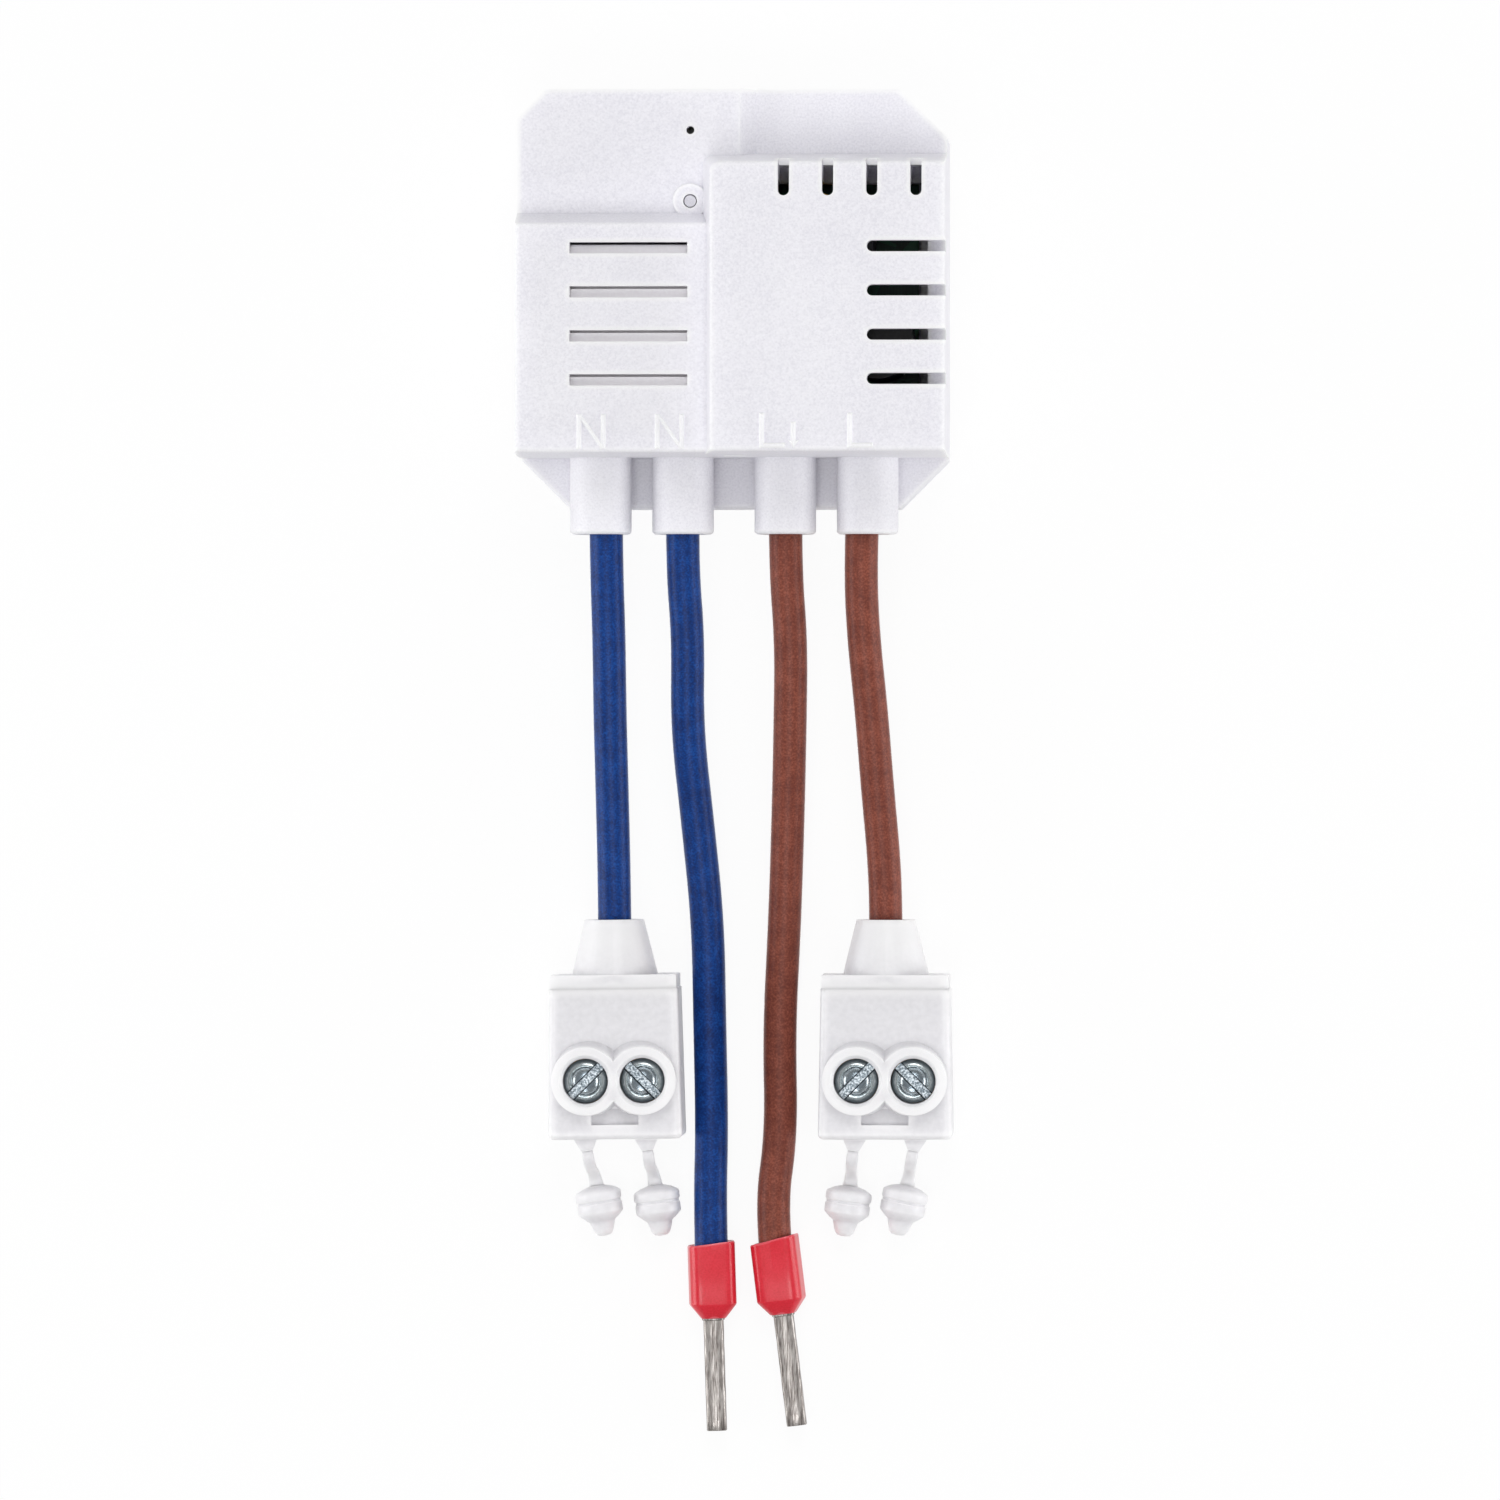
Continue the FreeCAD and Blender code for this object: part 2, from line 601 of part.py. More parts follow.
open_slots(
    "side_vent",
    ("side_vent_tip", "vent_row"),
    ("side_vent_tip", "vent_row - vent_width / 2", f"{SIDE} + wall", "vent_row + vent_width / 2"),
    "V_Axis",
    True,
)
open_slots(
    "top_vent",
    ("top_vent_first", "top_vent_tip"),
    (
        "top_vent_first - vent_width / 2",
        "top_vent_tip",
        "top_vent_first + vent_width / 2",
        "supply_top + wall",
    ),
    "H_Axis",
    False,
)
channel_sketch = sketch_on(cover, "vent_channel_outline", shift="supply_level")
rectangle(
    channel_sketch,
    "top_vent_first - vent_width / 2",
    "top_vent_tip",
    "top_vent_first + vent_width / 2",
    "supply_top - supply_slope - vent_lip",
)
vent_channel = pocket(cover, channel_sketch, "vent_channel", "vent_channel")
row_of(cover, [vent_channel], channel_sketch, "H_Axis", False, "vent_channels")

LIGHT_Y = f"({TOP} - light_gap)"
hole_sketch = sketch_on(cover, "button_hole_outline", shift="mid_step + boss_height")
circle(hole_sketch, "-button_x", "button_y", "button_radius + button_gap")
circle(hole_sketch, "-button_x", LIGHT_Y, "light_radius")
pocket(cover, hole_sketch, "boss_height + wall * 1.5", "button_and_light_holes")


MARK_FOOT = f"({WALL_FACE} + mark_base)"
MARK_TOP = f"({MARK_FOOT} + mark_height)"
# The slanted stroke of the N meets the upright ones this many strokes from their ends.
SLANT = 1.4


def letter_n(left):
    """Outline of a thin capital N over the foot line of the marks."""
    right = f"({left} + neutral_mark_width)"
    return [
        (left, MARK_FOOT),
        (left, MARK_TOP),
        (f"{left} + mark_stroke", MARK_TOP),
        (f"{right} - mark_stroke", f"{MARK_FOOT} + mark_stroke * {SLANT}"),
        (f"{right} - mark_stroke", MARK_TOP),
        (right, MARK_TOP),
        (right, MARK_FOOT),
        (f"{right} - mark_stroke", MARK_FOOT),
        (f"{left} + mark_stroke", f"{MARK_TOP} - mark_stroke * {SLANT}"),
        (f"{left} + mark_stroke", MARK_FOOT),
    ]


def letter_l(left):
    """Outline of a thin capital L over the foot line of the marks."""
    return [
        (left, MARK_FOOT),
        (left, MARK_TOP),
        (f"{left} + mark_stroke", MARK_TOP),
        (f"{left} + mark_stroke", f"{MARK_FOOT} + mark_stroke"),
        (f"{left} + line_mark_width", f"{MARK_FOOT} + mark_stroke"),
        (f"{left} + line_mark_width", MARK_FOOT),
    ]


def down_arrow():
    """Outline of a thin arrow that points at the leads."""
    head = f"({MARK_FOOT} + arrow_width * 0.7)"
    stem_top = f"({MARK_FOOT} + mark_height * 0.75)"
    return [
        ("arrow_x", MARK_FOOT),
        ("arrow_x + arrow_width / 2", head),
        ("arrow_x + mark_stroke / 2", head),
        ("arrow_x + mark_stroke / 2", stem_top),
        ("arrow_x - mark_stroke / 2", stem_top),
        ("arrow_x - mark_stroke / 2", head),
        ("arrow_x - arrow_width / 2", head),
    ]


neutral_marks = sketch_on(cover, "neutral_mark_outline", shift="relay_level - edge_round")
polygon(neutral_marks, letter_n("(0 - neutral_mark_first)"))
polygon(neutral_marks, letter_n("(0 - neutral_mark_second)"))
neutral_pad = pad(cover, neutral_marks, "edge_round + mark_raise", "neutral_marks")
neutral_top = size("relay_level + mark_raise")
round_edges(
    cover,
    neutral_pad,
    lambda middle, box: near(box.ZMin, neutral_top) and near(box.ZMax, neutral_top),
    "mark_bevel",
    "neutral_mark_edges",
    "PartDesign::Chamfer",
)
line_marks = sketch_on(cover, "line_mark_outline", shift="supply_level - edge_round")
polygon(line_marks, letter_l("line_mark_first"))
polygon(line_marks, down_arrow())
polygon(line_marks, letter_l("line_mark_second"))
line_pad = pad(cover, line_marks, "edge_round + mark_raise", "line_marks")
line_top = size("supply_level + mark_raise")
round_edges(
    cover,
    line_pad,
    lambda middle, box: near(box.ZMin, line_top) and near(box.ZMax, line_top),
    "mark_bevel",
    "line_mark_edges",
    "PartDesign::Chamfer",
)

# Rear shell: a shallow tray with board posts and three ribs that locate the cover.
shell = new_body("rear_shell")
shell_sketch = sketch_on(shell, "shell_outline")
polygon(shell_sketch, outline())
shell_pad = pad(shell, shell_sketch, "split_level", "shell_tray")
round_edges(
    shell,
    shell_pad,
    lambda middle, box: near(middle.z, 0),
    "edge_round * 2",
    "shell_back_edges",
    "PartDesign::Chamfer",
)
tray_sketch = sketch_on(shell, "tray_outline", shift="split_level")
polygon(tray_sketch, outline("wall"))
pocket(shell, tray_sketch, "split_level - shell_floor", "tray")
post_sketch = sketch_on(shell, "post_outline", shift="shell_floor / 2")
for x in ("-post_x", "post_x"):
    for y in ("-post_y", "post_y"):
        circle(post_sketch, x, y, "post_radius")
pad(shell, post_sketch, "shell_floor / 2 + post_height", "board_posts")
rib_sketch = sketch_on(shell, "rib_outline", shift="shell_floor / 2")
RIB_OUTER = "(wall + fit_gap)"
RIB_INNER = "(wall + fit_gap + rib_thickness)"
rectangle(rib_sketch, f"{RIB_OUTER} - {SIDE}", "-post_y", f"{RIB_INNER} - {SIDE}", "post_y")
rectangle(rib_sketch, f"{SIDE} - {RIB_INNER}", "-post_y", f"{SIDE} - {RIB_OUTER}", "post_y")
rectangle(rib_sketch, "-post_x", f"{TOP} - {RIB_INNER}", "post_x", f"{TOP} - {RIB_OUTER}")
pad(shell, rib_sketch, "split_level + rib_height - shell_floor / 2", "locating_ribs")

# Main board and what stands on it.
BOARD_FACE = "(shell_floor + post_height + board_thickness)"
board = new_body("main_board")
board_sketch = sketch_on(board, "board_outline", shift="shell_floor + post_height")
polygon(board_sketch, outline("(wall + fit_gap + rib_thickness + board_gap)"))
pad(board, board_sketch, "board_thickness", "board_plate")


def finish(feature, label):
    feature.Label = label
    pieces.append(feature)
    return feature


def seat(feature, x, y, z):
    """Bind the place of a primitive."""
    for name, text in (("x", x), ("y", y), ("z", z)):
        bind(feature, f"Placement.Base.{name}", text)


def box(name, low, lengths):
    feature = doc.addObject("Part::Box", name)
    for prop, text in zip(("Length", "Width", "Height"), lengths):
        bind(feature, prop, text)
    seat(feature, *low)
    return feature


def rod(name, foot, radius, height, turn=None):
    """A cylinder that stands on its foot point, or lies along the axis that turn leads to."""
    feature = doc.addObject("Part::Cylinder", name)
    bind(feature, "Radius", radius)
    bind(feature, "Height", height)
    if turn is not None:
        feature.Placement = FreeCAD.Placement(Vector(), turn)
    seat(feature, *foot)
    return feature


def joined(name, features):
    fusion = doc.addObject("Part::MultiFuse", name)
    fusion.Shapes = features
    return fusion


def without(name, base, tool):
    cut = doc.addObject("Part::Cut", name)
    cut.Base = base
    cut.Tool = tool
    return cut


ALONG_X = Rotation(Vector(0, 1, 0), 90)
ALONG_Y = Rotation(Vector(1, 0, 0), -90)

# Relay: a plastic case that fills its block of the cover, on a base whose pins pass through the board.
LEFT_WALL = f"(wall - {SIDE})"
LOW_WALL = f"({WALL_FACE} + wall)"
RELAY_FACE = f"({BOARD_FACE} + relay_foot)"
RELAY_LEFT = f"({LEFT_WALL} + relay_side_gap)"
RELAY_LOW = f"({LOW_WALL} + relay_low_gap)"
RELAY_LENGTH = f"(relay_right - {RELAY_LEFT})"
RELAY_WIDTH = f"(relay_top - relay_slope - wall - relay_top_gap - {RELAY_LOW})"
RELAY_HEIGHT = f"(relay_level - relay_skin - relay_roof_gap - {RELAY_FACE})"
finish(
    box(
        "relay_case_box",
        (RELAY_LEFT, RELAY_LOW, RELAY_FACE),
        (RELAY_LENGTH, RELAY_WIDTH, RELAY_HEIGHT),
    ),
    "relay_case",
)
relay_plate = box(
    "relay_base_plate",
    (f"{RELAY_LEFT} + relay_inset", f"{RELAY_LOW} + relay_inset", BOARD_FACE),
    (f"{RELAY_LENGTH} - 2 * relay_inset", f"{RELAY_WIDTH} - 2 * relay_inset", "relay_foot"),
)
PIN_SPOTS = [
    (f"{RELAY_LEFT} + {RELAY_LENGTH} * {along}", f"{RELAY_LOW} + {RELAY_WIDTH} * {across}")
    for along in (0.15, 0.5, 0.85)
    for across in (0.25, 0.75)
]
PIN_FOOT = f"({BOARD_FACE} - board_thickness - relay_pin_reach)"
relay_pins = [
    rod(f"relay_pin_{index}", (x, y, PIN_FOOT), "relay_pin_radius", f"{RELAY_FACE} - {PIN_FOOT}")
    for index, (x, y) in enumerate(PIN_SPOTS)
]
finish(joined("relay_base_with_pins", [relay_plate] + relay_pins), "relay_base")
pin_holes = sketch_on(board, "pin_hole_outline", shift=BOARD_FACE)
for x, y in PIN_SPOTS:
    circle(pin_holes, x, y, "relay_pin_radius + fit_gap")
pocket(board, pin_holes, "board_thickness", "pin_holes")

# Power supply: transformer, capacitors, varistor, fuse resistor and converter chip.
CORE_FACE = f"({BOARD_FACE} + core_foot)"
CORE_LEFT = "(relay_right + core_gap)"
CORE_X = f"({CORE_LEFT} + core_width / 2)"
CORE_HEIGHT = f"(supply_level - wall - core_roof_gap - {CORE_FACE})"
WINDING_RADIUS = "(core_width / 2 - core_leg - winding_gap)"
CORE_Y = f"(supply_top - supply_slope - wall - core_top_gap - {WINDING_RADIUS})"
core_outer = box(
    "core_outer",
    (CORE_LEFT, f"{CORE_Y} - core_depth / 2", CORE_FACE),
    ("core_width", "core_depth", CORE_HEIGHT),
)
core_window = box(
    "core_window",
    (f"{CORE_LEFT} + core_leg", f"{CORE_Y} - core_depth / 2", f"{CORE_FACE} + core_leg"),
    ("core_width - 2 * core_leg", "core_depth", f"{CORE_HEIGHT} - 2 * core_leg"),
)
core_post = rod("core_middle_leg", (CORE_X, CORE_Y, CORE_FACE), "core_post", CORE_HEIGHT)
core_frame = without("core_frame", core_outer, core_window)
finish(joined("core_with_leg", [core_frame, core_post]), "transformer_core")
winding_foot = (CORE_X, CORE_Y, f"{CORE_FACE} + core_leg")
winding_height = f"{CORE_HEIGHT} - 2 * core_leg"
winding_outer = rod("winding_outer", winding_foot, WINDING_RADIUS, winding_height)
winding_bore = rod("winding_bore", winding_foot, "core_post", winding_height)
finish(without("winding_tube", winding_outer, winding_bore), "transformer_winding")
BULK_X = f"({SIDE} - {RIB_INNER} - bulk_gap - bulk_radius)"
BULK_Y = f"({LOW_WALL} + varistor_low_gap + varistor_thickness + bulk_low_gap + bulk_radius)"
finish(
    rod(
        "bulk_can",
        (BULK_X, BULK_Y, BOARD_FACE),
        "bulk_radius",
        f"supply_level - wall - bulk_roof_gap - {BOARD_FACE}",
    ),
    "mains_capacitor",
)
finish(
    rod(
        "output_can",
        ("relay_right + output_gap + output_radius", BULK_Y, BOARD_FACE),
        "output_radius",
        "output_height",
    ),
    "output_capacitor",
)
finish(
    box(
        "film_box",
        ("relay_right + film_gap", f"{LOW_WALL} + film_low_gap", BOARD_FACE),
        ("film_width", "film_depth", "film_height"),
    ),
    "film_capacitor",
)
VARISTOR_X = f"({SIDE} - {RIB_INNER} - varistor_gap - varistor_radius)"
finish(
    rod(
        "varistor_disc",
        (VARISTOR_X, f"{LOW_WALL} + varistor_low_gap", f"{BOARD_FACE} + varistor_radius"),
        "varistor_radius",
        "varistor_thickness",
        ALONG_Y,
    ),
    "varistor",
)
FUSE_Y = f"({TOP} - {RIB_INNER} - fuse_gap - fuse_radius)"
finish(
    rod(
        "fuse_rod",
        ("fuse_x", FUSE_Y, f"{BOARD_FACE} + fuse_radius"),
        "fuse_radius",
        "fuse_length",
        ALONG_X,
    ),
    "fuse_resistor",
)
finish(
    box(
        "chip_box",
        ("fuse_x + fuse_length + chip_gap", f"{FUSE_Y} - chip_size / 2", BOARD_FACE),
        ("chip_size", "chip_size", "chip_height"),
    ),
    "converter_chip",
)

# Radio board on its header, with shield, antenna, status light and tact switch.
RADIO_FACE = "(mid_step - wall - radio_drop)"
RADIO_LEFT = f"({LEFT_WALL} + radio_side_gap)"
RADIO_TOP = f"({TOP} - wall - radio_top_gap)"
finish(
    box(
        "radio_plate",
        (RADIO_LEFT, "radio_low", f"{RADIO_FACE} - radio_thickness"),
        (f"radio_right - {RADIO_LEFT}", f"{RADIO_TOP} - radio_low", "radio_thickness"),
    ),
    "radio_board",
)
SHIELD_LEFT = f"({RADIO_LEFT} + wall)"
SHIELD_LOW = "(radio_low + wall)"
finish(
    box(
        "header_box",
        (SHIELD_LEFT, SHIELD_LOW, BOARD_FACE),
        ("header_width", "header_length", f"{RADIO_FACE} - radio_thickness - {BOARD_FACE}"),
    ),
    "board_header",
)
finish(
    box(
        "shield_box",
        (SHIELD_LEFT, SHIELD_LOW, RADIO_FACE),
        (
            f"0 - button_x - switch_size / 2 - shield_gap - {SHIELD_LEFT}",
            f"{RADIO_TOP} - shield_top_gap - {SHIELD_LOW}",
            "shield_height",
        ),
    ),
    "radio_shield",
)
finish(
    box(
        "antenna_strip",
        (f"{RADIO_LEFT} + wall / 2", f"{RADIO_TOP} - 2 * antenna_thickness", RADIO_FACE),
        (
            f"step_ridge - wall / 2 - antenna_gap - {RADIO_LEFT} - wall / 2",
            "antenna_thickness",
            "antenna_height",
        ),
    ),
    "antenna",
)
finish(
    box(
        "lamp_box",
        ("-button_x - lamp_size / 2", f"{LIGHT_Y} - lamp_size / 2", RADIO_FACE),
        ("lamp_size", "lamp_size", "lamp_size"),
    ),
    "status_light",
)
switch_box = box(
    "switch_box",
    ("-button_x - switch_size / 2", "button_y - switch_size / 2", RADIO_FACE),
    ("switch_size", "switch_size", "switch_height"),
)
SWITCH_TOP = f"({RADIO_FACE} + switch_height)"
PLUNGER_FOOT = f"({SWITCH_TOP} - plunger_depth)"
switch_well = rod(
    "switch_well",
    ("-button_x", "button_y", f"{PLUNGER_FOOT} - button_travel - fit_gap"),
    "plunger_radius + fit_gap",
    "plunger_depth + button_travel + fit_gap",
)
finish(without("switch_with_well", switch_box, switch_well), "tact_switch")

# Programming button: the pin in the cover's boss, its flange, and the switch's own plunger under it.
FLANGE_TOP = "(mid_step - wall - button_play)"
FLANGE_FOOT = f"({FLANGE_TOP} - button_flange_height)"
button_body = new_body("program_button")
flange_sketch = sketch_on(button_body, "button_flange_outline", shift=FLANGE_FOOT)
circle(flange_sketch, "-button_x", "button_y", "button_flange")
pad(button_body, flange_sketch, "button_flange_height", "button_disc")
tip_sketch = sketch_on(button_body, "button_tip_outline", shift=FLANGE_TOP)
circle(tip_sketch, "-button_x", "button_y", "button_radius")
pad(button_body, tip_sketch, f"mid_step + boss_height / 2 - {FLANGE_TOP}", "button_tip")
finish(
    rod(
        "plunger_rod",
        ("-button_x", "button_y", PLUNGER_FOOT),
        "plunger_radius",
        f"{FLANGE_FOOT} - {PLUNGER_FOOT}",
    ),
    "switch_plunger",
)

# Leads inside the housing: insulated ends, bared conductors bent down to the board, solder joints.
LEAD_X = ["-lead_outer", "-lead_inner", "lead_inner", "lead_outer"]
LEAD_NAMES = ["neutral_short", "neutral_long", "load_long", "line_short"]
JOIN = f"({SLEEVE_END} + lead_join + lead_gap)"
BARE_AT = f"({WALL_FACE} + wall + lead_bare)"
for name, x in zip(LEAD_NAMES, LEAD_X):
    tail = rod(f"tail_{name}", (x, JOIN, "sleeve_axis"), "lead_radius", f"{BARE_AT} - {JOIN}", ALONG_Y)
    finish(tail, f"lead_end_{name}")


# A bend this share of its full radius leaves a short straight run at each end.
NEAR_FULL = 0.99


def smooth_path(points, bends):
    """Straight runs joined by tangent arcs of the given radii, as one wire."""
    edges = []
    start = points[0]
    for before, corner, after, bend in zip(points, points[1:], points[2:], bends):
        incoming = (corner - before).normalize()
        outgoing = (after - corner).normalize()
        half_turn = incoming.getAngle(outgoing) / 2
        tangent = bend * math.tan(half_turn)
        arc_start = corner - incoming * tangent
        arc_end = corner + outgoing * tangent
        inward = (outgoing - incoming).normalize()
        middle = corner + inward * (bend / math.cos(half_turn) - bend)
        edges.append(Part.LineSegment(start, arc_start).toShape())
        edges.append(Part.Arc(arc_start, middle, arc_end).toShape())
        start = arc_end
    edges.append(Part.LineSegment(start, points[-1]).toShape())
    return Part.Wire(edges)


def tube(points, bends, radius):
    """A round bar along a smooth path; returns it with its length."""
    path = smooth_path(points, bends)
    heading = (points[1] - points[0]).normalize()
    section = Part.Wire([Part.Circle(points[0], heading, radius).toShape()])
    return path.makePipeShell([section], True, False), path.Length


def shaped(name, shape):
    """A piece whose shape is worked out here from the sheet."""
    feature = doc.addObject("Part::Feature", name)
    feature.Shape = shape
    return finish(feature, name)


conductors = []
joints = []
bend = size("conductor_bend")
board_face = size(BOARD_FACE)
for x in LEAD_X:
    column_y = size(BARE_AT) + bend
    start = Vector(size(x), size(BARE_AT), size("sleeve_axis"))
    corner = Vector(size(x), column_y, size("sleeve_axis"))
    foot = Vector(size(x), column_y, board_face)
    solid, length = tube([start, corner, foot], [bend * NEAR_FULL], size("conductor_radius"))
    conductors.append(solid)
    cone = Part.makeCone(size("solder_radius"), size("conductor_radius") * 1.1, size("solder_height"), foot)
    hole = Part.makeCylinder(size("conductor_radius"), size("solder_height"), foot)
    joints.append(cone.cut(hole))
shaped("lead_conductors", Part.makeCompound(conductors))
shaped("solder_joints", Part.makeCompound(joints))

# Leads outside the housing, chosen points along each from its sleeve to its ferrule or connector.
ROUTES = {
    "lead_neutral_short": [
        (-11.45, -18.25, 8.5),
        (-11.42, -22.8, 8.4),
        (-11.24, -28.8, 7.75),
        (-11.21, -35.8, 6.65),
        (-11.08, -42.6, 5.5),
        (-10.96, -49.2, 4.65),
        (-10.9, -54.6, 4.33),
        (-10.85, -59.75, 4.3),
    ],
    "lead_neutral_long": [
        (-4.6, -18.25, 8.5),
        (-4.62, -22.9, 8.42),
        (-4.15, -29.0, 7.7),
        (-4.35, -37.0, 5.85),
        (-3.45, -45.8, 3.6),
        (-2.62, -54.5, 2.35),
        (-2.48, -63.5, 1.85),
        (-2.28, -73.0, 1.8),
        (-2.457, -80.0, 2.1),
        (-2.26, -86.12, 2.1),
    ],
    "lead_load_long": [
        (4.6, -18.25, 8.5),
        (4.58, -22.9, 8.4),
        (5.06, -29.4, 7.6),
        (4.88, -37.4, 5.7),
        (4.62, -45.5, 3.6),
        (4.28, -54.5, 2.3),
        (3.76, -64.4, 1.85),
        (3.98, -73.4, 1.85),
        (3.0, -80.3, 2.1),
        (3.67, -85.74, 2.1),
    ],
    "lead_line_short": [
        (11.45, -18.25, 8.5),
        (11.28, -22.8, 8.42),
        (11.5, -28.6, 7.8),
        (12.2, -35.5, 6.6),
        (12.72, -42.5, 5.5),
        (13.32, -49.2, 4.65),
        (13.45, -54.4, 4.33),
        (13.45, -59.75, 4.3),
    ],
}
lead_radius = size("lead_radius")
for name, route in ROUTES.items():
    points = [Vector(*point) for point in route]
    runs = [(after - before).Length for before, after in zip(points, points[1:])]
    bends = []
    for index in range(1, len(points) - 1):
        turn = (points[index] - points[index - 1]).getAngle(points[index + 1] - points[index])
        bends.append(0.45 * min(runs[index - 1], runs[index]) / math.tan(turn / 2))
    solid, length = tube(points, bends, lead_radius)
    share = solid.Volume / (math.pi * lead_radius ** 2 * length)
    print(name, "length", round(length, 2), "volume over section times length", round(share, 4))
    print("  bend radii", [round(value, 1) for value in bends])
    shaped(name, solid)

# Ferrules: a flared plastic collar on a tinned pin, each along its own axis from the collar's mouth.
for name, mouth in (("neutral", "first"), ("load", "second")):
    placing = {
        "Placement.Base.x": f"{mouth}_mouth_x",
        "Placement.Base.y": f"{mouth}_mouth_y",
        "Placement.Base.z": "collar_radius",
        "Placement.Rotation.Angle": f"{mouth}_lean",
    }
    collar = new_body(f"ferrule_collar_{name}")
    collar_sketch = sketch_on(collar, f"collar_{name}_profile", "YZ_Plane")
    polygon(
        collar_sketch,
        [
            ("0", "collar_bore"),
            ("0", "collar_radius - collar_round"),
            ("-collar_round", "collar_radius"),
            ("collar_taper - collar_length", "collar_radius"),
            ("-collar_length", "collar_tip"),
            ("-collar_length", "pin_root_radius + pin_gap"),
            ("-collar_seat - collar_bore / 2", "pin_root_radius + pin_gap"),
            ("-collar_seat", "collar_bore"),
        ],
    )
    revolve(collar, collar_sketch, "H_Axis", f"collar_{name}_turned")
    pin = new_body(f"ferrule_pin_{name}")
    root_sketch = sketch_on(pin, f"pin_{name}_root_profile", "XZ_Plane", "collar_seat + lead_gap")
    circle(root_sketch, "0", "0", "pin_root_radius")
    pad(pin, root_sketch, "collar_length - collar_seat - lead_gap", f"pin_{name}_root")
    pin_sketch = sketch_on(pin, f"pin_{name}_profile", "XZ_Plane", "collar_length")
    circle(pin_sketch, "0", "0", "pin_radius")
    pad(pin, pin_sketch, "pin_length", f"pin_{name}_bar")
    for body in (collar, pin):
        body.Placement = FreeCAD.Placement(Vector(), Rotation(Vector(0, 0, 1), 1))
        for prop, text in placing.items():
            bind(body, prop, text)

# Screw connectors, drawn about the middle of the joint between hood and body.
BLOCK_TOP = "(block_floor + block_height)"
RIM = "(body_height + tower_height)"
CHAMBER_FOOT = "(block_floor + chamber_floor)"
CHAMBER_ROOF = "(block_floor + chamber_floor + chamber_height)"
ENTRY_LEVEL = f"({CHAMBER_FOOT} + (chamber_height - plate_gap - plate_thickness) / 2)"
HEAD_FOOT = f"({BLOCK_TOP} + head_seat + screw_travel)"
HEAD_TOP = f"({HEAD_FOOT} + head_height)"
PLATE_TOP = f"({CHAMBER_ROOF} - plate_gap)"
POLES = (("a", "-pole_half", -1), ("b", "pole_half", 1))
LEANS = {"left": ("lean_first", "lean_second"), "right": ("lean_third", "lean_fourth")}


def connector_body(label, place):
    """A body that is placed with its connector."""
    body = new_body(label)
    body.Placement = FreeCAD.Placement(Vector(), Rotation(Vector(0, 0, 1), 1))
    for prop, text in place.items():
        bind(body, prop, text)
    return body


def strap_root(x, lean, turn):
    """Plan of the root of a strap: wide on the body, as narrow as the strap at its end."""
    heading = f"(({lean} - {turn}) * 1deg)"
    end_x = f"({x} + strap_foot * sin({heading}))"
    end_y = f"(0 - body_length - strap_foot * cos({heading}))"
    half_x = f"(strap_width / 2 * cos({heading}))"
    half_y = f"(strap_width / 2 * sin({heading}))"
    return [
        (f"{x} - strap_width / 2 - strap_flare", "body_round - body_length"),
        (f"{x} + strap_width / 2 + strap_flare", "body_round - body_length"),
        (f"{x} + strap_width / 2 + strap_flare", "-body_length"),
        (f"{end_x} + {half_x}", f"{end_y} + {half_y}"),
        (f"{end_x} - {half_x}", f"{end_y} - {half_y}"),
        (f"{x} - strap_width / 2 - strap_flare", "-body_length"),
    ]


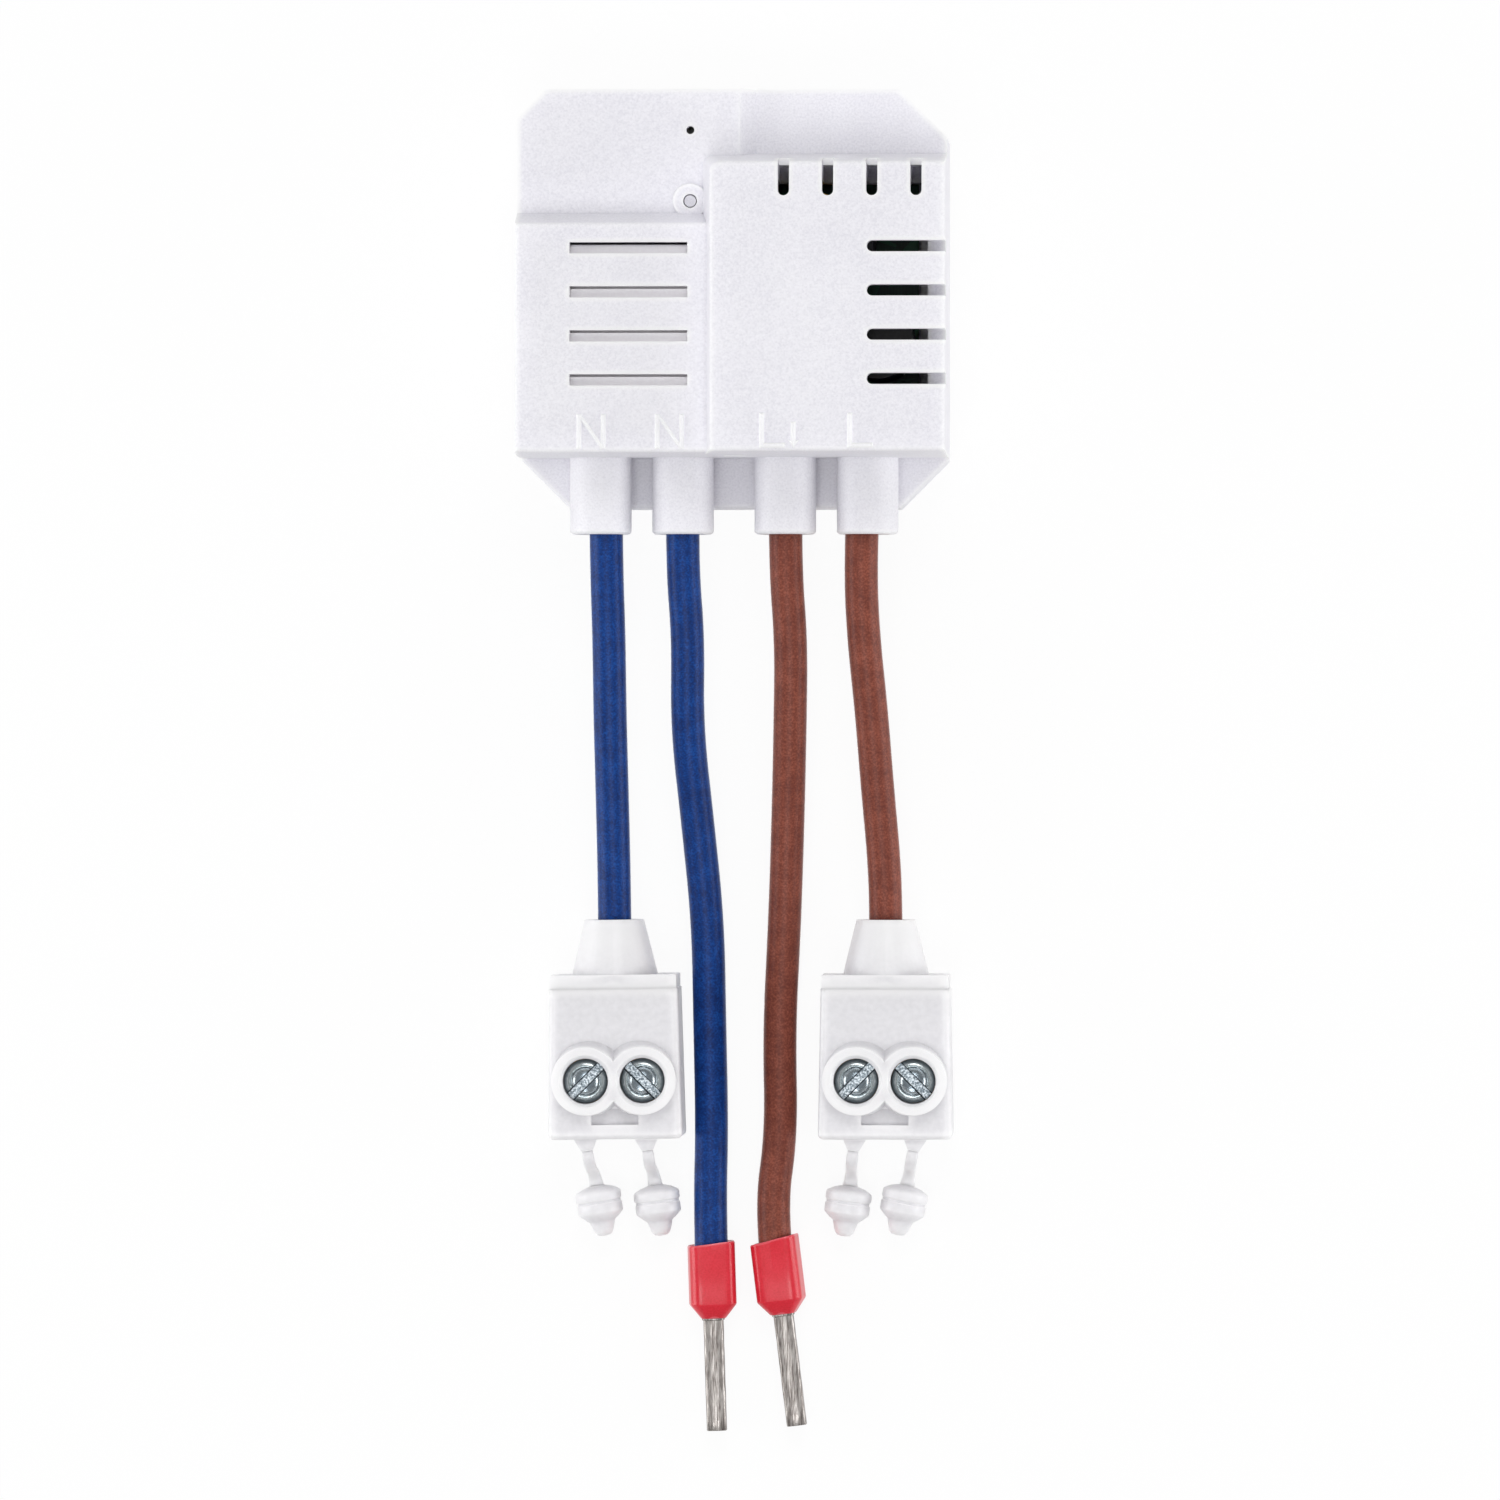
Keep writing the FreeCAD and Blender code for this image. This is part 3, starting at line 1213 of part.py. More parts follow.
def make_housing(side, place):
    """Moulded body: tapered box, leaning towers with screw wells, cavity, entries, recess, strap roots."""
    body = connector_body(f"connector_body_{side}", place)
    plan = sketch_on(body, f"body_plan_{side}")
    polygon(
        plan,
        [
            ("-body_width / 2", "0"),
            ("body_width / 2", "0"),
            ("foot_width / 2", "-body_length"),
            ("-foot_width / 2", "-body_length"),
        ],
    )
    solid = pad(body, plan, "body_height", f"body_block_{side}")
    height = size("body_height")
    rounded = round_edges(
        body,
        solid,
        lambda middle, box: middle.y < -0.1 and not near(middle.z, 0),
        "body_round",
        f"body_edges_{side}",
    )
    for pole, x, sign in POLES:
        foot = sketch_on(body, f"tower_foot_{side}_{pole}", shift="body_height - body_round")
        circle(foot, f"{x} - {sign} * tower_gather", "tower_lead - pole_depth", "tower_foot")
        rim = sketch_on(body, f"tower_rim_{side}_{pole}", shift=RIM)
        circle(rim, x, "-pole_depth", "tower_rim")
        loft(body, foot, rim, f"tower_{side}_{pole}")
    roots = sketch_on(body, f"strap_roots_{side}", shift="strap_level - strap_thickness / 2")
    for (pole, x, sign), lean in zip(POLES, LEANS[side]):
        strap_x = x.replace("pole_half", "strap_half")
        polygon(roots, strap_root(strap_x, lean, place["Placement.Rotation.Angle"]))
    pad(body, roots, "strap_thickness", f"strap_root_pads_{side}")
    cavity_plan = sketch_on(body, f"body_cavity_{side}", "XZ_Plane")
    rectangle(
        cavity_plan,
        "-block_width / 2 - fit_gap",
        "block_floor - fit_gap",
        "block_width / 2 + fit_gap",
        f"{BLOCK_TOP} + fit_gap",
    )
    pocket(body, cavity_plan, "body_length - block_end", f"body_hollow_{side}", backward=True)
    wells = sketch_on(body, f"wells_{side}", shift=RIM)
    for pole, x, sign in POLES:
        circle(wells, x, "-pole_depth", "well_radius")
    cut_wells = pocket(body, wells, f"{RIM} - {BLOCK_TOP}", f"screw_wells_{side}")
    entries = sketch_on(body, f"entries_{side}", "XZ_Plane", "body_length")
    for pole, x, sign in POLES:
        circle(entries, x, ENTRY_LEVEL, "entry_radius")
    pocket(body, entries, "block_end * 1.5", f"wire_entries_{side}")
    window = sketch_on(body, f"window_{side}", shift="body_height")
    rectangle(
        window,
        "-window_width / 2",
        "window_gap - body_length",
        "window_width / 2",
        "window_gap + window_height - body_length",
    )
    recess = pocket(body, window, "window_depth", f"recess_{side}")
    rim_level = size(RIM)
    well = size("well_radius")
    round_edges(
        body,
        recess,
        lambda middle, box: near(middle.z, rim_level) and near(box.XLength, 2 * well, 0.1),
        "well_funnel",
        f"well_funnels_{side}",
        "PartDesign::Chamfer",
    )


def make_hood(side, place):
    """Hood: a flange that closes the body, with a hollow cone round the lead."""
    body = connector_body(f"connector_hood_{side}", place)
    cone = sketch_on(body, f"cone_profile_{side}", "YZ_Plane")
    polygon(
        cone,
        [
            ("0", "entry_axis + cone_foot - cone_wall"),
            ("0", "entry_axis + cone_foot"),
            ("hood_flange", "entry_axis + cone_foot"),
            ("hood_flange + cone_length", "entry_axis + cone_tip"),
            ("hood_flange + cone_length", "entry_axis + cone_tip - cone_wall"),
        ],
    )
    axis_ends = [Vector(0, size("entry_axis"), 0), Vector(size("hood_flange"), size("entry_axis"), 0)]
    axis = cone.addGeometry(Part.LineSegment(*axis_ends), True)
    pin_point(cone, axis, 1, "0", "entry_axis")
    pin_point(cone, axis, 2, "hood_flange", "entry_axis")
    revolve(body, cone, "Axis0", f"cone_turned_{side}")
    flange = sketch_on(body, f"flange_outline_{side}", "XZ_Plane", "-hood_flange")
    rectangle(
        flange,
        "hood_inset - body_width / 2",
        "hood_inset",
        "body_width / 2 - hood_inset",
        "body_height - hood_inset",
    )
    circle(flange, "0", "entry_axis", "cone_foot - cone_wall / 2")
    pad(body, flange, "hood_flange", f"flange_{side}")


def make_block(side, place):
    """Brass clamp block: wire chambers, threads and the hole of the lead's conductor."""
    body = connector_body(f"clamp_block_{side}", place)
    plan = sketch_on(body, f"block_plan_{side}", shift="block_floor")
    rectangle(
        plan,
        "-block_width / 2",
        "block_end + fit_gap - body_length",
        "block_width / 2",
        "-block_start",
    )
    pad(body, plan, "block_height", f"block_bar_{side}")
    chambers = sketch_on(body, f"chambers_{side}", "XZ_Plane", "body_length")
    for pole, x, sign in POLES:
        rectangle(
            chambers,
            f"{x} - chamber_width / 2",
            CHAMBER_FOOT,
            f"{x} + chamber_width / 2",
            CHAMBER_ROOF,
        )
    pocket(body, chambers, "block_end + chamber_depth", f"wire_chambers_{side}")
    threads = sketch_on(body, f"threads_{side}", shift=BLOCK_TOP)
    for pole, x, sign in POLES:
        circle(threads, x, "-pole_depth", "screw_radius + thread_gap")
    pocket(body, threads, "block_height / 2", f"screw_threads_{side}")
    hole = sketch_on(body, f"conductor_hole_{side}", "XZ_Plane")
    circle(hole, "0", "entry_axis", "conductor_radius + fit_gap")
    pocket(body, hole, "block_start * 3.5", f"conductor_seat_{side}", backward=True)


def make_conductor(side, place):
    """Bared end of the lead, from its insulation to its seat in the block."""
    body = connector_body(f"lead_core_{side}", place)
    section = sketch_on(body, f"core_section_{side}", "XZ_Plane", "-core_start")
    circle(section, "0", "entry_axis", "conductor_radius")
    pad(body, section, "core_start + block_start * 3", f"core_bar_{side}")


def make_clamp(side, pole, x, sign, place):
    """One clamping screw on its pressure plate, both fully open."""
    plate = connector_body(f"pressure_plate_{side}_{pole}", place)
    plate_plan = sketch_on(plate, f"plate_plan_{side}_{pole}", shift=f"{PLATE_TOP} - plate_thickness")
    rectangle(
        plate_plan,
        f"{x} - plate_width / 2",
        "-pole_depth - plate_length / 2",
        f"{x} + plate_width / 2",
        "plate_length / 2 - pole_depth",
    )
    pad(plate, plate_plan, "plate_thickness", f"plate_bar_{side}_{pole}")
    screw = connector_body(f"clamp_screw_{side}_{pole}", place)
    shank = sketch_on(screw, f"shank_{side}_{pole}", shift=PLATE_TOP)
    circle(shank, x, "-pole_depth", "screw_radius")
    pad(screw, shank, f"{HEAD_FOOT} - {PLATE_TOP}", f"shank_bar_{side}_{pole}")
    head = sketch_on(screw, f"head_{side}_{pole}", shift=HEAD_FOOT)
    circle(head, x, "-pole_depth", "head_radius")
    head_pad = pad(screw, head, "head_height", f"head_disc_{side}_{pole}")
    head_level = size(HEAD_TOP)
    round_edges(
        screw,
        head_pad,
        lambda middle, box: near(middle.z, head_level),
        "well_funnel / 2",
        f"head_edge_{side}_{pole}",
    )
    dimple = sketch_on(screw, f"dimple_{side}_{pole}", shift=HEAD_TOP)
    circle(dimple, x, "-pole_depth", "dimple_radius")
    pocket(screw, dimple, "dimple_depth", f"dimple_cut_{side}_{pole}")
    slot = sketch_on(screw, f"slot_{side}_{pole}", shift=HEAD_TOP)
    along = f"(head_radius * 1.2 * cos(slot_turn * {-sign} * 1deg))"
    rise = f"(head_radius * 1.2 * sin(slot_turn * {-sign} * 1deg))"
    across = f"(slot_width / 2 * sin(slot_turn * {-sign} * 1deg))"
    drop = f"(slot_width / 2 * cos(slot_turn * {-sign} * 1deg))"
    polygon(
        slot,
        [
            (f"{x} - {along} + {across}", f"-pole_depth - {rise} - {drop}"),
            (f"{x} + {along} + {across}", f"{rise} - pole_depth - {drop}"),
            (f"{x} + {along} - {across}", f"{rise} - pole_depth + {drop}"),
            (f"{x} - {along} - {across}", f"-pole_depth - {rise} + {drop}"),
        ],
    )
    pocket(screw, slot, "slot_depth", f"slot_cut_{side}_{pole}")


def ribbon(path, width, thickness):
    """A flat strap of even width along a path that starts at the origin and leaves along -Y."""
    corners = [
        Vector(-width / 2, 0, -thickness / 2),
        Vector(width / 2, 0, -thickness / 2),
        Vector(width / 2, 0, thickness / 2),
        Vector(-width / 2, 0, thickness / 2),
    ]
    return path.makePipeShell([Part.makePolygon(corners + corners[:1])], True, False)


def make_cap(side, pole, x, lean, place):
    """Captive cap: an S-bent strap with a round end, which leads to a ringed plug with a stud."""
    bend = size("strap_bend")
    hinge = size("strap_foot + strap_gap + strap_knuckle")
    reach = size("strap_reach") - hinge
    drop = size("strap_level - cap_radius - cap_lift")
    width = size("strap_width")
    thickness = size("strap_thickness")
    slant = math.hypot(reach, drop - 2 * bend)
    turn = math.atan2(drop - 2 * bend, reach) + math.asin(2 * bend / slant)
    tangent = bend * math.tan(turn / 2)
    corners = [
        Vector(0, 0, 0),
        Vector(0, -tangent, 0),
        Vector(0, tangent - reach, -drop),
        Vector(0, -reach, -drop),
    ]
    path = smooth_path(corners, [bend * NEAR_FULL] * 2)
    strap = ribbon(path, width, thickness)
    knuckle_foot = Vector(-width / 2, 0, 0)
    knuckle = Part.makeCylinder(size("strap_knuckle"), width, knuckle_foot, Vector(1, 0, 0))
    radius = size("cap_radius")
    groove = radius - size("cap_groove_depth")
    plug = size("cap_plug_radius")
    top = size("cap_top")
    rim_end = top + size("cap_rim")
    groove_end = rim_end + size("cap_groove")
    plug_end = groove_end + size("cap_plug")
    bevel_end = plug_end + size("cap_bevel")
    tip = bevel_end + size("stud_length")
    stations = [
        (thickness / 2, 0.0),
        (radius, top),
        (radius, rim_end),
        (groove, rim_end),
        (groove, groove_end),
        (plug, groove_end),
        (plug, plug_end),
        (size("stud_radius"), bevel_end),
        (size("stud_tip"), tip),
        (0.0, tip),
        (0.0, 0.0),
    ]
    profile = [Vector(distance, -reach - along, -drop) for distance, along in stations]
    half_section = Part.Face(Part.makePolygon(profile + profile[:1]))
    turned = half_section.revolve(Vector(0, -reach, -drop), Vector(0, 1, 0), 360)
    cap = shaped(f"screw_cap_{side}_{pole}", turned.fuse([strap, knuckle]).removeSplitter())
    connector = Rotation(Vector(0, 0, 1), size(place["Placement.Rotation.Angle"]))
    root = connector.multVec(Vector(size(x), size("-body_length"), size("strap_level")))
    heading = Rotation(Vector(0, 0, 1), size(lean))
    origin = Vector(size(place["Placement.Base.x"]), size(place["Placement.Base.y"]), 0)
    cap.Placement = FreeCAD.Placement(origin + root + heading.multVec(Vector(0, -hinge, 0)), heading)


def place_of(side):
    return {
        "Placement.Base.x": f"{side}_x",
        "Placement.Base.y": "connector_y",
        "Placement.Rotation.Angle": f"{side}_turn",
    }


for side in ("left", "right"):
    place = place_of(side)
    make_housing(side, place)
    make_hood(side, place)
    make_block(side, place)
    make_conductor(side, place)
    for (pole, x, sign), lean in zip(POLES, LEANS[side]):
        make_clamp(side, pole, x, sign, place)
        make_cap(side, pole, x.replace("pole_half", "strap_half"), lean, place)

# Every feature has to be whole before anything is written.
doc.recompute()
for item in doc.Objects:
    if "Invalid" in item.State or "Error" in item.State:
        raise RuntimeError(f"{item.Name} failed: {item.State}")
    if item.TypeId == "PartDesign::Pocket" and item.Shape.Volume >= item.BaseFeature.Shape.Volume:
        raise RuntimeError(f"{item.Name} cuts nothing")
os.makedirs("parts", exist_ok=True)
for piece in pieces:
    shape = piece.Shape
    if shape.isNull() or not shape.isValid() or not shape.Solids:
        raise RuntimeError(f"{piece.Label} has no valid solid")
    shape.exportStep(os.path.join("parts", f"{piece.Label}.step"))
print(len(pieces), "pieces written")
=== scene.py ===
import math

import bmesh
import bpy
from mathutils import Matrix, Vector


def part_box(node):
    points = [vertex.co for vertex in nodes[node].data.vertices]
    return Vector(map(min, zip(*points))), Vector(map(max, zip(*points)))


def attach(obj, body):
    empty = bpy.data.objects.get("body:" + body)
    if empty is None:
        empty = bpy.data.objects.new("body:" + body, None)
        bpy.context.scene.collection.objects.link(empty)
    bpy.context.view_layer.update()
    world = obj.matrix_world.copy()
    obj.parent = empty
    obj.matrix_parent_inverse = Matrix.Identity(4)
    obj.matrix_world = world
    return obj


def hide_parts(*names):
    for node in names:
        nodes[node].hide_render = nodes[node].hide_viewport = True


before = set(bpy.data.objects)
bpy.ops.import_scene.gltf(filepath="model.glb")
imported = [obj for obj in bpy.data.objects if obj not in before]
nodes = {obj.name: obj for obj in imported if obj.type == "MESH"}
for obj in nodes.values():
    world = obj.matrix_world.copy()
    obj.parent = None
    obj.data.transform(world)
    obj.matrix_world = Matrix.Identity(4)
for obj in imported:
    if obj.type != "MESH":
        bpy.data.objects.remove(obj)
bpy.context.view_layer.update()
scene = bpy.context.scene
scene.view_settings.view_transform = "Standard"

# Camera, light and table. A long lens looks down from 1 m, a little right of the module, on a white
# table under a pale tent that is brightest near its top, with a large soft lamp on each side.
MM = 0.001
CAMERA_AT = Vector((41.25, -39.0, 1000.0)) * MM
CAMERA_AIM = Vector((1.07, -39.0, 0.0)) * MM
PHOTO_WIDTH = 135.1 * MM
SENSOR = 36.0
TENT_STRENGTH = 0.59
TENT_HORIZON = 0.7
TENT_LEVELS = ((0.35, 0.6), (0.62, 0.6), (0.9, 1.0), (0.95, 1.6), (0.987, 1.6))
TENT_TOP_PLACE = 0.998
TENT_TOP = (0.5, 0.5, 0.52, 1)
# Each lamp: its name, its place and aim in mm, its width in mm and its power in watts.
LAMPS = (
    ("lamp_far", (60, 430, 660), (0, -20, 0), 300, 1.4),
    ("lamp_left", (-520, -60, 130), (0, -40, 0), 300, 1.1),
    ("lamp_right", (540, -120, 130), (0, -40, 0), 300, 1.1),
    ("lamp_near", (-40, -330, 760), (0, -30, 0), 260, 1.15),
)
TABLE_HALF = 1500 * MM
TABLE_LEVEL = -0.05 * MM
TABLE_GLOW = 0.92


def hex_colour(code):
    """An sRGB hex value as linear red, green, blue and alpha."""
    shares = [int(code[i : i + 2], 16) / 255 for i in (1, 3, 5)]
    return [s / 12.92 if s <= 0.04045 else ((s + 0.055) / 1.055) ** 2.4 for s in shares] + [1.0]


def add_node(tree, kind, inputs=None, stops=None, **settings):
    """Adds a node with its properties, its inputs set or linked, and a ramp's (place, hex) stops."""
    made = tree.nodes.new(kind)
    for name, value in settings.items():
        setattr(made, name, value)
    if stops:
        elements = made.color_ramp.elements
        for element, (place, code) in zip(elements, (stops[0], stops[-1])):
            element.position = place
            element.color = hex_colour(code)
        for place, code in stops[1:-1]:
            elements.new(place).color = hex_colour(code)
    for name, value in (inputs or {}).items():
        if isinstance(value, bpy.types.NodeSocket):
            tree.links.new(value, made.inputs[name])
        else:
            made.inputs[name].default_value = value
    return made


camera_data = bpy.data.cameras.new("camera")
camera = bpy.data.objects.new("camera", camera_data)
scene.collection.objects.link(camera)
scene.camera = camera
back = (CAMERA_AT - CAMERA_AIM).normalized()
right = Vector((0, 1, 0)).cross(back).normalized()
stance = Matrix((right, back.cross(right), back)).transposed().to_4x4()
camera.matrix_world = Matrix.Translation(CAMERA_AT) @ stance
camera_data.sensor_width = SENSOR
camera_data.lens = SENSOR * (CAMERA_AT - CAMERA_AIM).length / PHOTO_WIDTH

world = bpy.data.worlds.new("light_tent")
scene.world = world
world.use_nodes = True
tent = world.node_tree
tent.nodes.clear()
heading = add_node(tent, "ShaderNodeTexCoord")
height = add_node(tent, "ShaderNodeSeparateXYZ", {0: heading.outputs["Generated"]})
level = add_node(tent, "ShaderNodeValToRGB", {0: height.outputs["Z"]})
tent_stops = level.color_ramp.elements
tent_stops[0].color = (TENT_HORIZON, TENT_HORIZON, TENT_HORIZON, 1)
tent_stops[1].position = TENT_TOP_PLACE
tent_stops[1].color = TENT_TOP
for place, shade in TENT_LEVELS:
    tent_stops.new(place).color = (shade, shade, shade, 1)
lit = add_node(
    tent, "ShaderNodeBackground", {"Color": level.outputs[0], "Strength": TENT_STRENGTH}
)
add_node(tent, "ShaderNodeOutputWorld", {0: lit.outputs[0]})

for name, place, aim, width, power in LAMPS:
    lamp = bpy.data.lights.new(name, "AREA")
    lamp.size = width * MM
    lamp.energy = power
    stand = bpy.data.objects.new(name, lamp)
    scene.collection.objects.link(stand)
    stand.location = Vector(place) * MM
    stand.rotation_euler = (Vector(aim) - Vector(place)).to_track_quat("-Z", "Y").to_euler()

# White matt laminate: reads as pure white paper with a soft grey shadow.
table_finish = bpy.data.materials.new("matt_white_table")
table_finish.use_nodes = True
tree = table_finish.node_tree
tree.nodes.clear()
rays = add_node(tree, "ShaderNodeLightPath")
matt = add_node(tree, "ShaderNodeBsdfDiffuse", {"Color": hex_colour("#fbfbfb")})
glow = add_node(tree, "ShaderNodeEmission", {"Color": (1, 1, 1, 1), "Strength": 1.0})
direct = rays.outputs["Is Camera Ray"]
for kind in ("Is Glossy Ray", "Is Transmission Ray"):
    either = add_node(
        tree, "ShaderNodeMath", {0: direct, 1: rays.outputs[kind]}, operation="MAXIMUM"
    )
    direct = either.outputs[0]
share = add_node(tree, "ShaderNodeMath", {0: direct, 1: TABLE_GLOW}, operation="MULTIPLY")
mixed = add_node(
    tree, "ShaderNodeMixShader", {0: share.outputs[0], 1: matt.outputs[0], 2: glow.outputs[0]}
)
add_node(tree, "ShaderNodeOutputMaterial", {0: mixed.outputs[0]})
floor_mesh = bpy.data.meshes.new("floor")
corners = [(x * TABLE_HALF, y * TABLE_HALF) for x, y in ((-1, -1), (1, -1), (1, 1), (-1, 1))]
floor_mesh.from_pydata([(x, y, TABLE_LEVEL) for x, y in corners], [], [(0, 1, 2, 3)])
floor = bpy.data.objects.new("floor", floor_mesh)
scene.collection.objects.link(floor)
floor_mesh.materials.append(table_finish)

# Housing: rear shell and stepped front cover, injection moulded in white ABS with a spark eroded
# texture, snapped together over the boards. The rear shell is the flat back and its low rim.
GRAIN = 0.2 * MM
GRAIN_SHARE = 0.75
FLOW = 9 * MM
RIM_HIGHLIGHT_WIDTH = 0.55 * MM
GRAIN_DEPTH = 0.012 * MM


def start_material(name, constants):
    """A Principled material with these constants, its tree, and coordinates in metres."""
    material = bpy.data.materials.new(name)
    material.use_nodes = True
    tree = material.node_tree
    shader = tree.nodes["Principled BSDF"]
    for socket, value in constants.items():
        shader.inputs[socket].default_value = value
    coordinates = add_node(tree, "ShaderNodeTexCoord")
    return material, tree, shader, coordinates.outputs["Object"]


def painted_rim_highlight(tree, tone, width, strength, code):
    """Painted highlight: a colour that turns to another within a width of the convex edges."""
    within = add_node(
        tree,
        "ShaderNodeAmbientOcclusion",
        {"Distance": width},
        inside=True,
        only_local=True,
        samples=8,
    )
    rim = add_node(
        tree,
        "ShaderNodeMapRange",
        {
            0: within.outputs["AO"],
            "From Min": 0.95,
            "From Max": 0.6,
            "To Min": 0.0,
            "To Max": strength,
        },
    )
    # The painted highlight: near the convex edges the colour is mixed towards the other, lighter
    # one.
    highlighted = add_node(
        tree,
        "ShaderNodeMix",
        {"Factor": rim.outputs[0], "A": tone, "B": hex_colour(code)},
        data_type="RGBA",
    )
    return highlighted.outputs["Result"]


def finish_nodes(material, names):
    """Gives CAD nodes a finish."""
    for name in names:
        mesh = nodes[name].data
        mesh.materials.clear()
        mesh.materials.append(material)


# Spark eroded ABS: grains of about 0.2 mm break its soft gloss, and the white leans to lavender. A
# painted highlight turns the colour near white along the convex edges, so rims, letters and fillets
# come out whiter and show little of the grain's tone.
moulded_abs, tree, shader, at = start_material(
    "spark_eroded_abs",
    {"Roughness": 0.5, "IOR": 1.53, "Subsurface Weight": 0.5, "Subsurface Scale": 1.2 * MM},
)
shader.inputs["Subsurface Radius"].default_value = (1.0, 1.0, 1.0)
grain = add_node(
    tree,
    "ShaderNodeTexNoise",
    {"Vector": at, "Scale": 1 / GRAIN, "Detail": 3.0, "Roughness": 0.6},
)
flow = add_node(tree, "ShaderNodeTexNoise", {"Vector": at, "Scale": 1 / FLOW, "Detail": 2.0})
blend = add_node(
    tree, "ShaderNodeMath", {0: grain.outputs[0], 1: GRAIN_SHARE}, operation="MULTIPLY"
)
blend = add_node(
    tree,
    "ShaderNodeMath",
    {0: flow.outputs[0], 1: 1 - GRAIN_SHARE, 2: blend.outputs[0]},
    operation="MULTIPLY_ADD",
)
tone = add_node(
    tree,
    "ShaderNodeValToRGB",
    {0: blend.outputs[0]},
    stops=[(0.35, "#e4e3ea"), (0.5, "#eeedf3"), (0.65, "#f5f4fa")],
)
# Painted highlight: the colour turns near white close to the convex edges of the cover and shell.
rim_highlighted = painted_rim_highlight(tree, tone.outputs[0], RIM_HIGHLIGHT_WIDTH, 0.9, "#fefeff")
tree.links.new(rim_highlighted, shader.inputs["Base Color"])
gloss = add_node(
    tree,
    "ShaderNodeMapRange",
    {0: grain.outputs[0], "From Min": 0.3, "From Max": 0.7, "To Min": 0.44, "To Max": 0.6},
)
tree.links.new(gloss.outputs[0], shader.inputs["Roughness"])
relief = add_node(
    tree, "ShaderNodeBump", {"Height": grain.outputs[0], "Strength": 0.9, "Distance": GRAIN_DEPTH}
)
tree.links.new(relief.outputs[0], shader.inputs["Normal"])
finish_nodes(moulded_abs, ["rear_shell", "front_cover"])

# Main board and radio board: woven fibreglass with etched copper tracks under a coat of green
# lacquer. The main board rests on posts of the rear shell, and the radio board on its header.
WEAVE = 0.9 * MM
TRACK_FIELD = 2.4 * MM
TRACK_GAP = 0.12
WEAVE_SHARE = 0.2

# Green solder lacquer: glossy, darker along the gaps between the tracks, over a faint weave.
lacquer, tree, shader, at = start_material(
    "green_solder_lacquer", {"Roughness": 0.32, "IOR": 1.5}
)
weave = add_node(
    tree, "ShaderNodeTexWave", {"Vector": at, "Scale": 1 / WEAVE, "Distortion": 1.5}
)
tracks = add_node(
    tree,
    "ShaderNodeTexVoronoi",
    {"Vector": at, "Scale": 1 / TRACK_FIELD},
    feature="DISTANCE_TO_EDGE",
)
edge = add_node(
    tree,
    "ShaderNodeMath",
    {0: tracks.outputs["Distance"], 1: TRACK_GAP},
    operation="GREATER_THAN",
)
blend = add_node(
    tree,
    "ShaderNodeMath",
    {0: weave.outputs[0], 1: WEAVE_SHARE, 2: edge.outputs[0]},
    operation="MULTIPLY_ADD",
)
tone = add_node(
    tree, "ShaderNodeValToRGB", {0: blend.outputs[0]}, stops=[(0.0, "#0c3d26"), (1.0, "#17603c")]
)
tree.links.new(tone.outputs[0], shader.inputs["Base Color"])
finish_nodes(lacquer, ["main_board", "radio_board"])

# Relay: a case of pale polyester with rounded edges, seen close behind the left vents. Narrow
# grooves cut across its top under the vents' upper edges stand in for the shade that those edges
# cast, as dark lines of painted shade. The coating of the fuse resistor looks the same.
RELAY_EDGE = 0.3
GROOVE_WIDTH = 0.22
GROOVE_DEPTH = 0.9
GROOVE_SHARE = 0.94
GROOVE_PITCH = 3.9
GROOVE_FIRST = 1.98
GROOVE_COUNT = 3
CLOUD_LOW = 0.3
CLOUD_HIGH = 0.7


def clouded(name, constants, width, detail, dark, light):
    """A finish with soft clouds of a width in mm between a dark and a light shade."""
    material, tree, shader, at = start_material(name, constants)
    cloud = add_node(
        tree, "ShaderNodeTexNoise", {"Vector": at, "Scale": 1 / (width * MM), "Detail": detail}
    )
    tone = add_node(
        tree,
        "ShaderNodeValToRGB",
        {0: cloud.outputs[0]},
        stops=[(CLOUD_LOW, dark), (CLOUD_HIGH, light)],
    )
    tree.links.new(tone.outputs[0], shader.inputs["Base Color"])
    return material


def start_tree(name, sizes):
    """A geometry tree with a mesh input, named inputs for its sizes, and a mesh output."""
    tree = bpy.data.node_groups.new(name, "GeometryNodeTree")
    tree.interface.new_socket("Mesh", in_out="INPUT", socket_type="NodeSocketGeometry")
    for label, kind in sizes:
        tree.interface.new_socket(label, in_out="INPUT", socket_type=f"NodeSocket{kind}")
    tree.interface.new_socket("Mesh", in_out="OUTPUT", socket_type="NodeSocketGeometry")
    return tree, tree.nodes.new("NodeGroupInput").outputs


def close_tree(tree, shape, material):
    """Ends a geometry tree: instances made real, one material, output."""
    real = add_node(tree, "GeometryNodeRealizeInstances", {0: shape})
    finished = add_node(
        tree, "GeometryNodeSetMaterial", {"Geometry": real.outputs[0], "Material": material}
    )
    add_node(tree, "NodeGroupOutput", {0: finished.outputs[0]})


def plain_mesh(shown):
    """The mesh of an object with its modifiers worked out."""
    bpy.context.view_layer.update()
    return bpy.data.meshes.new_from_object(
        shown.evaluated_get(bpy.context.evaluated_depsgraph_get())
    )


def grown(base, tree, sizes):
    """The plain mesh that a geometry tree makes from a base mesh."""
    blank = bpy.data.objects.new("blank", base)
    scene.collection.objects.link(blank)
    maker = blank.modifiers.new("maker", "NODES")
    maker.node_group = tree
    for socket in tree.interface.items_tree:
        if socket.name in sizes:
            maker[socket.identifier] = sizes[socket.name]
    result = plain_mesh(blank)
    blank.modifiers.remove(maker)
    bpy.data.objects.remove(blank)
    return result


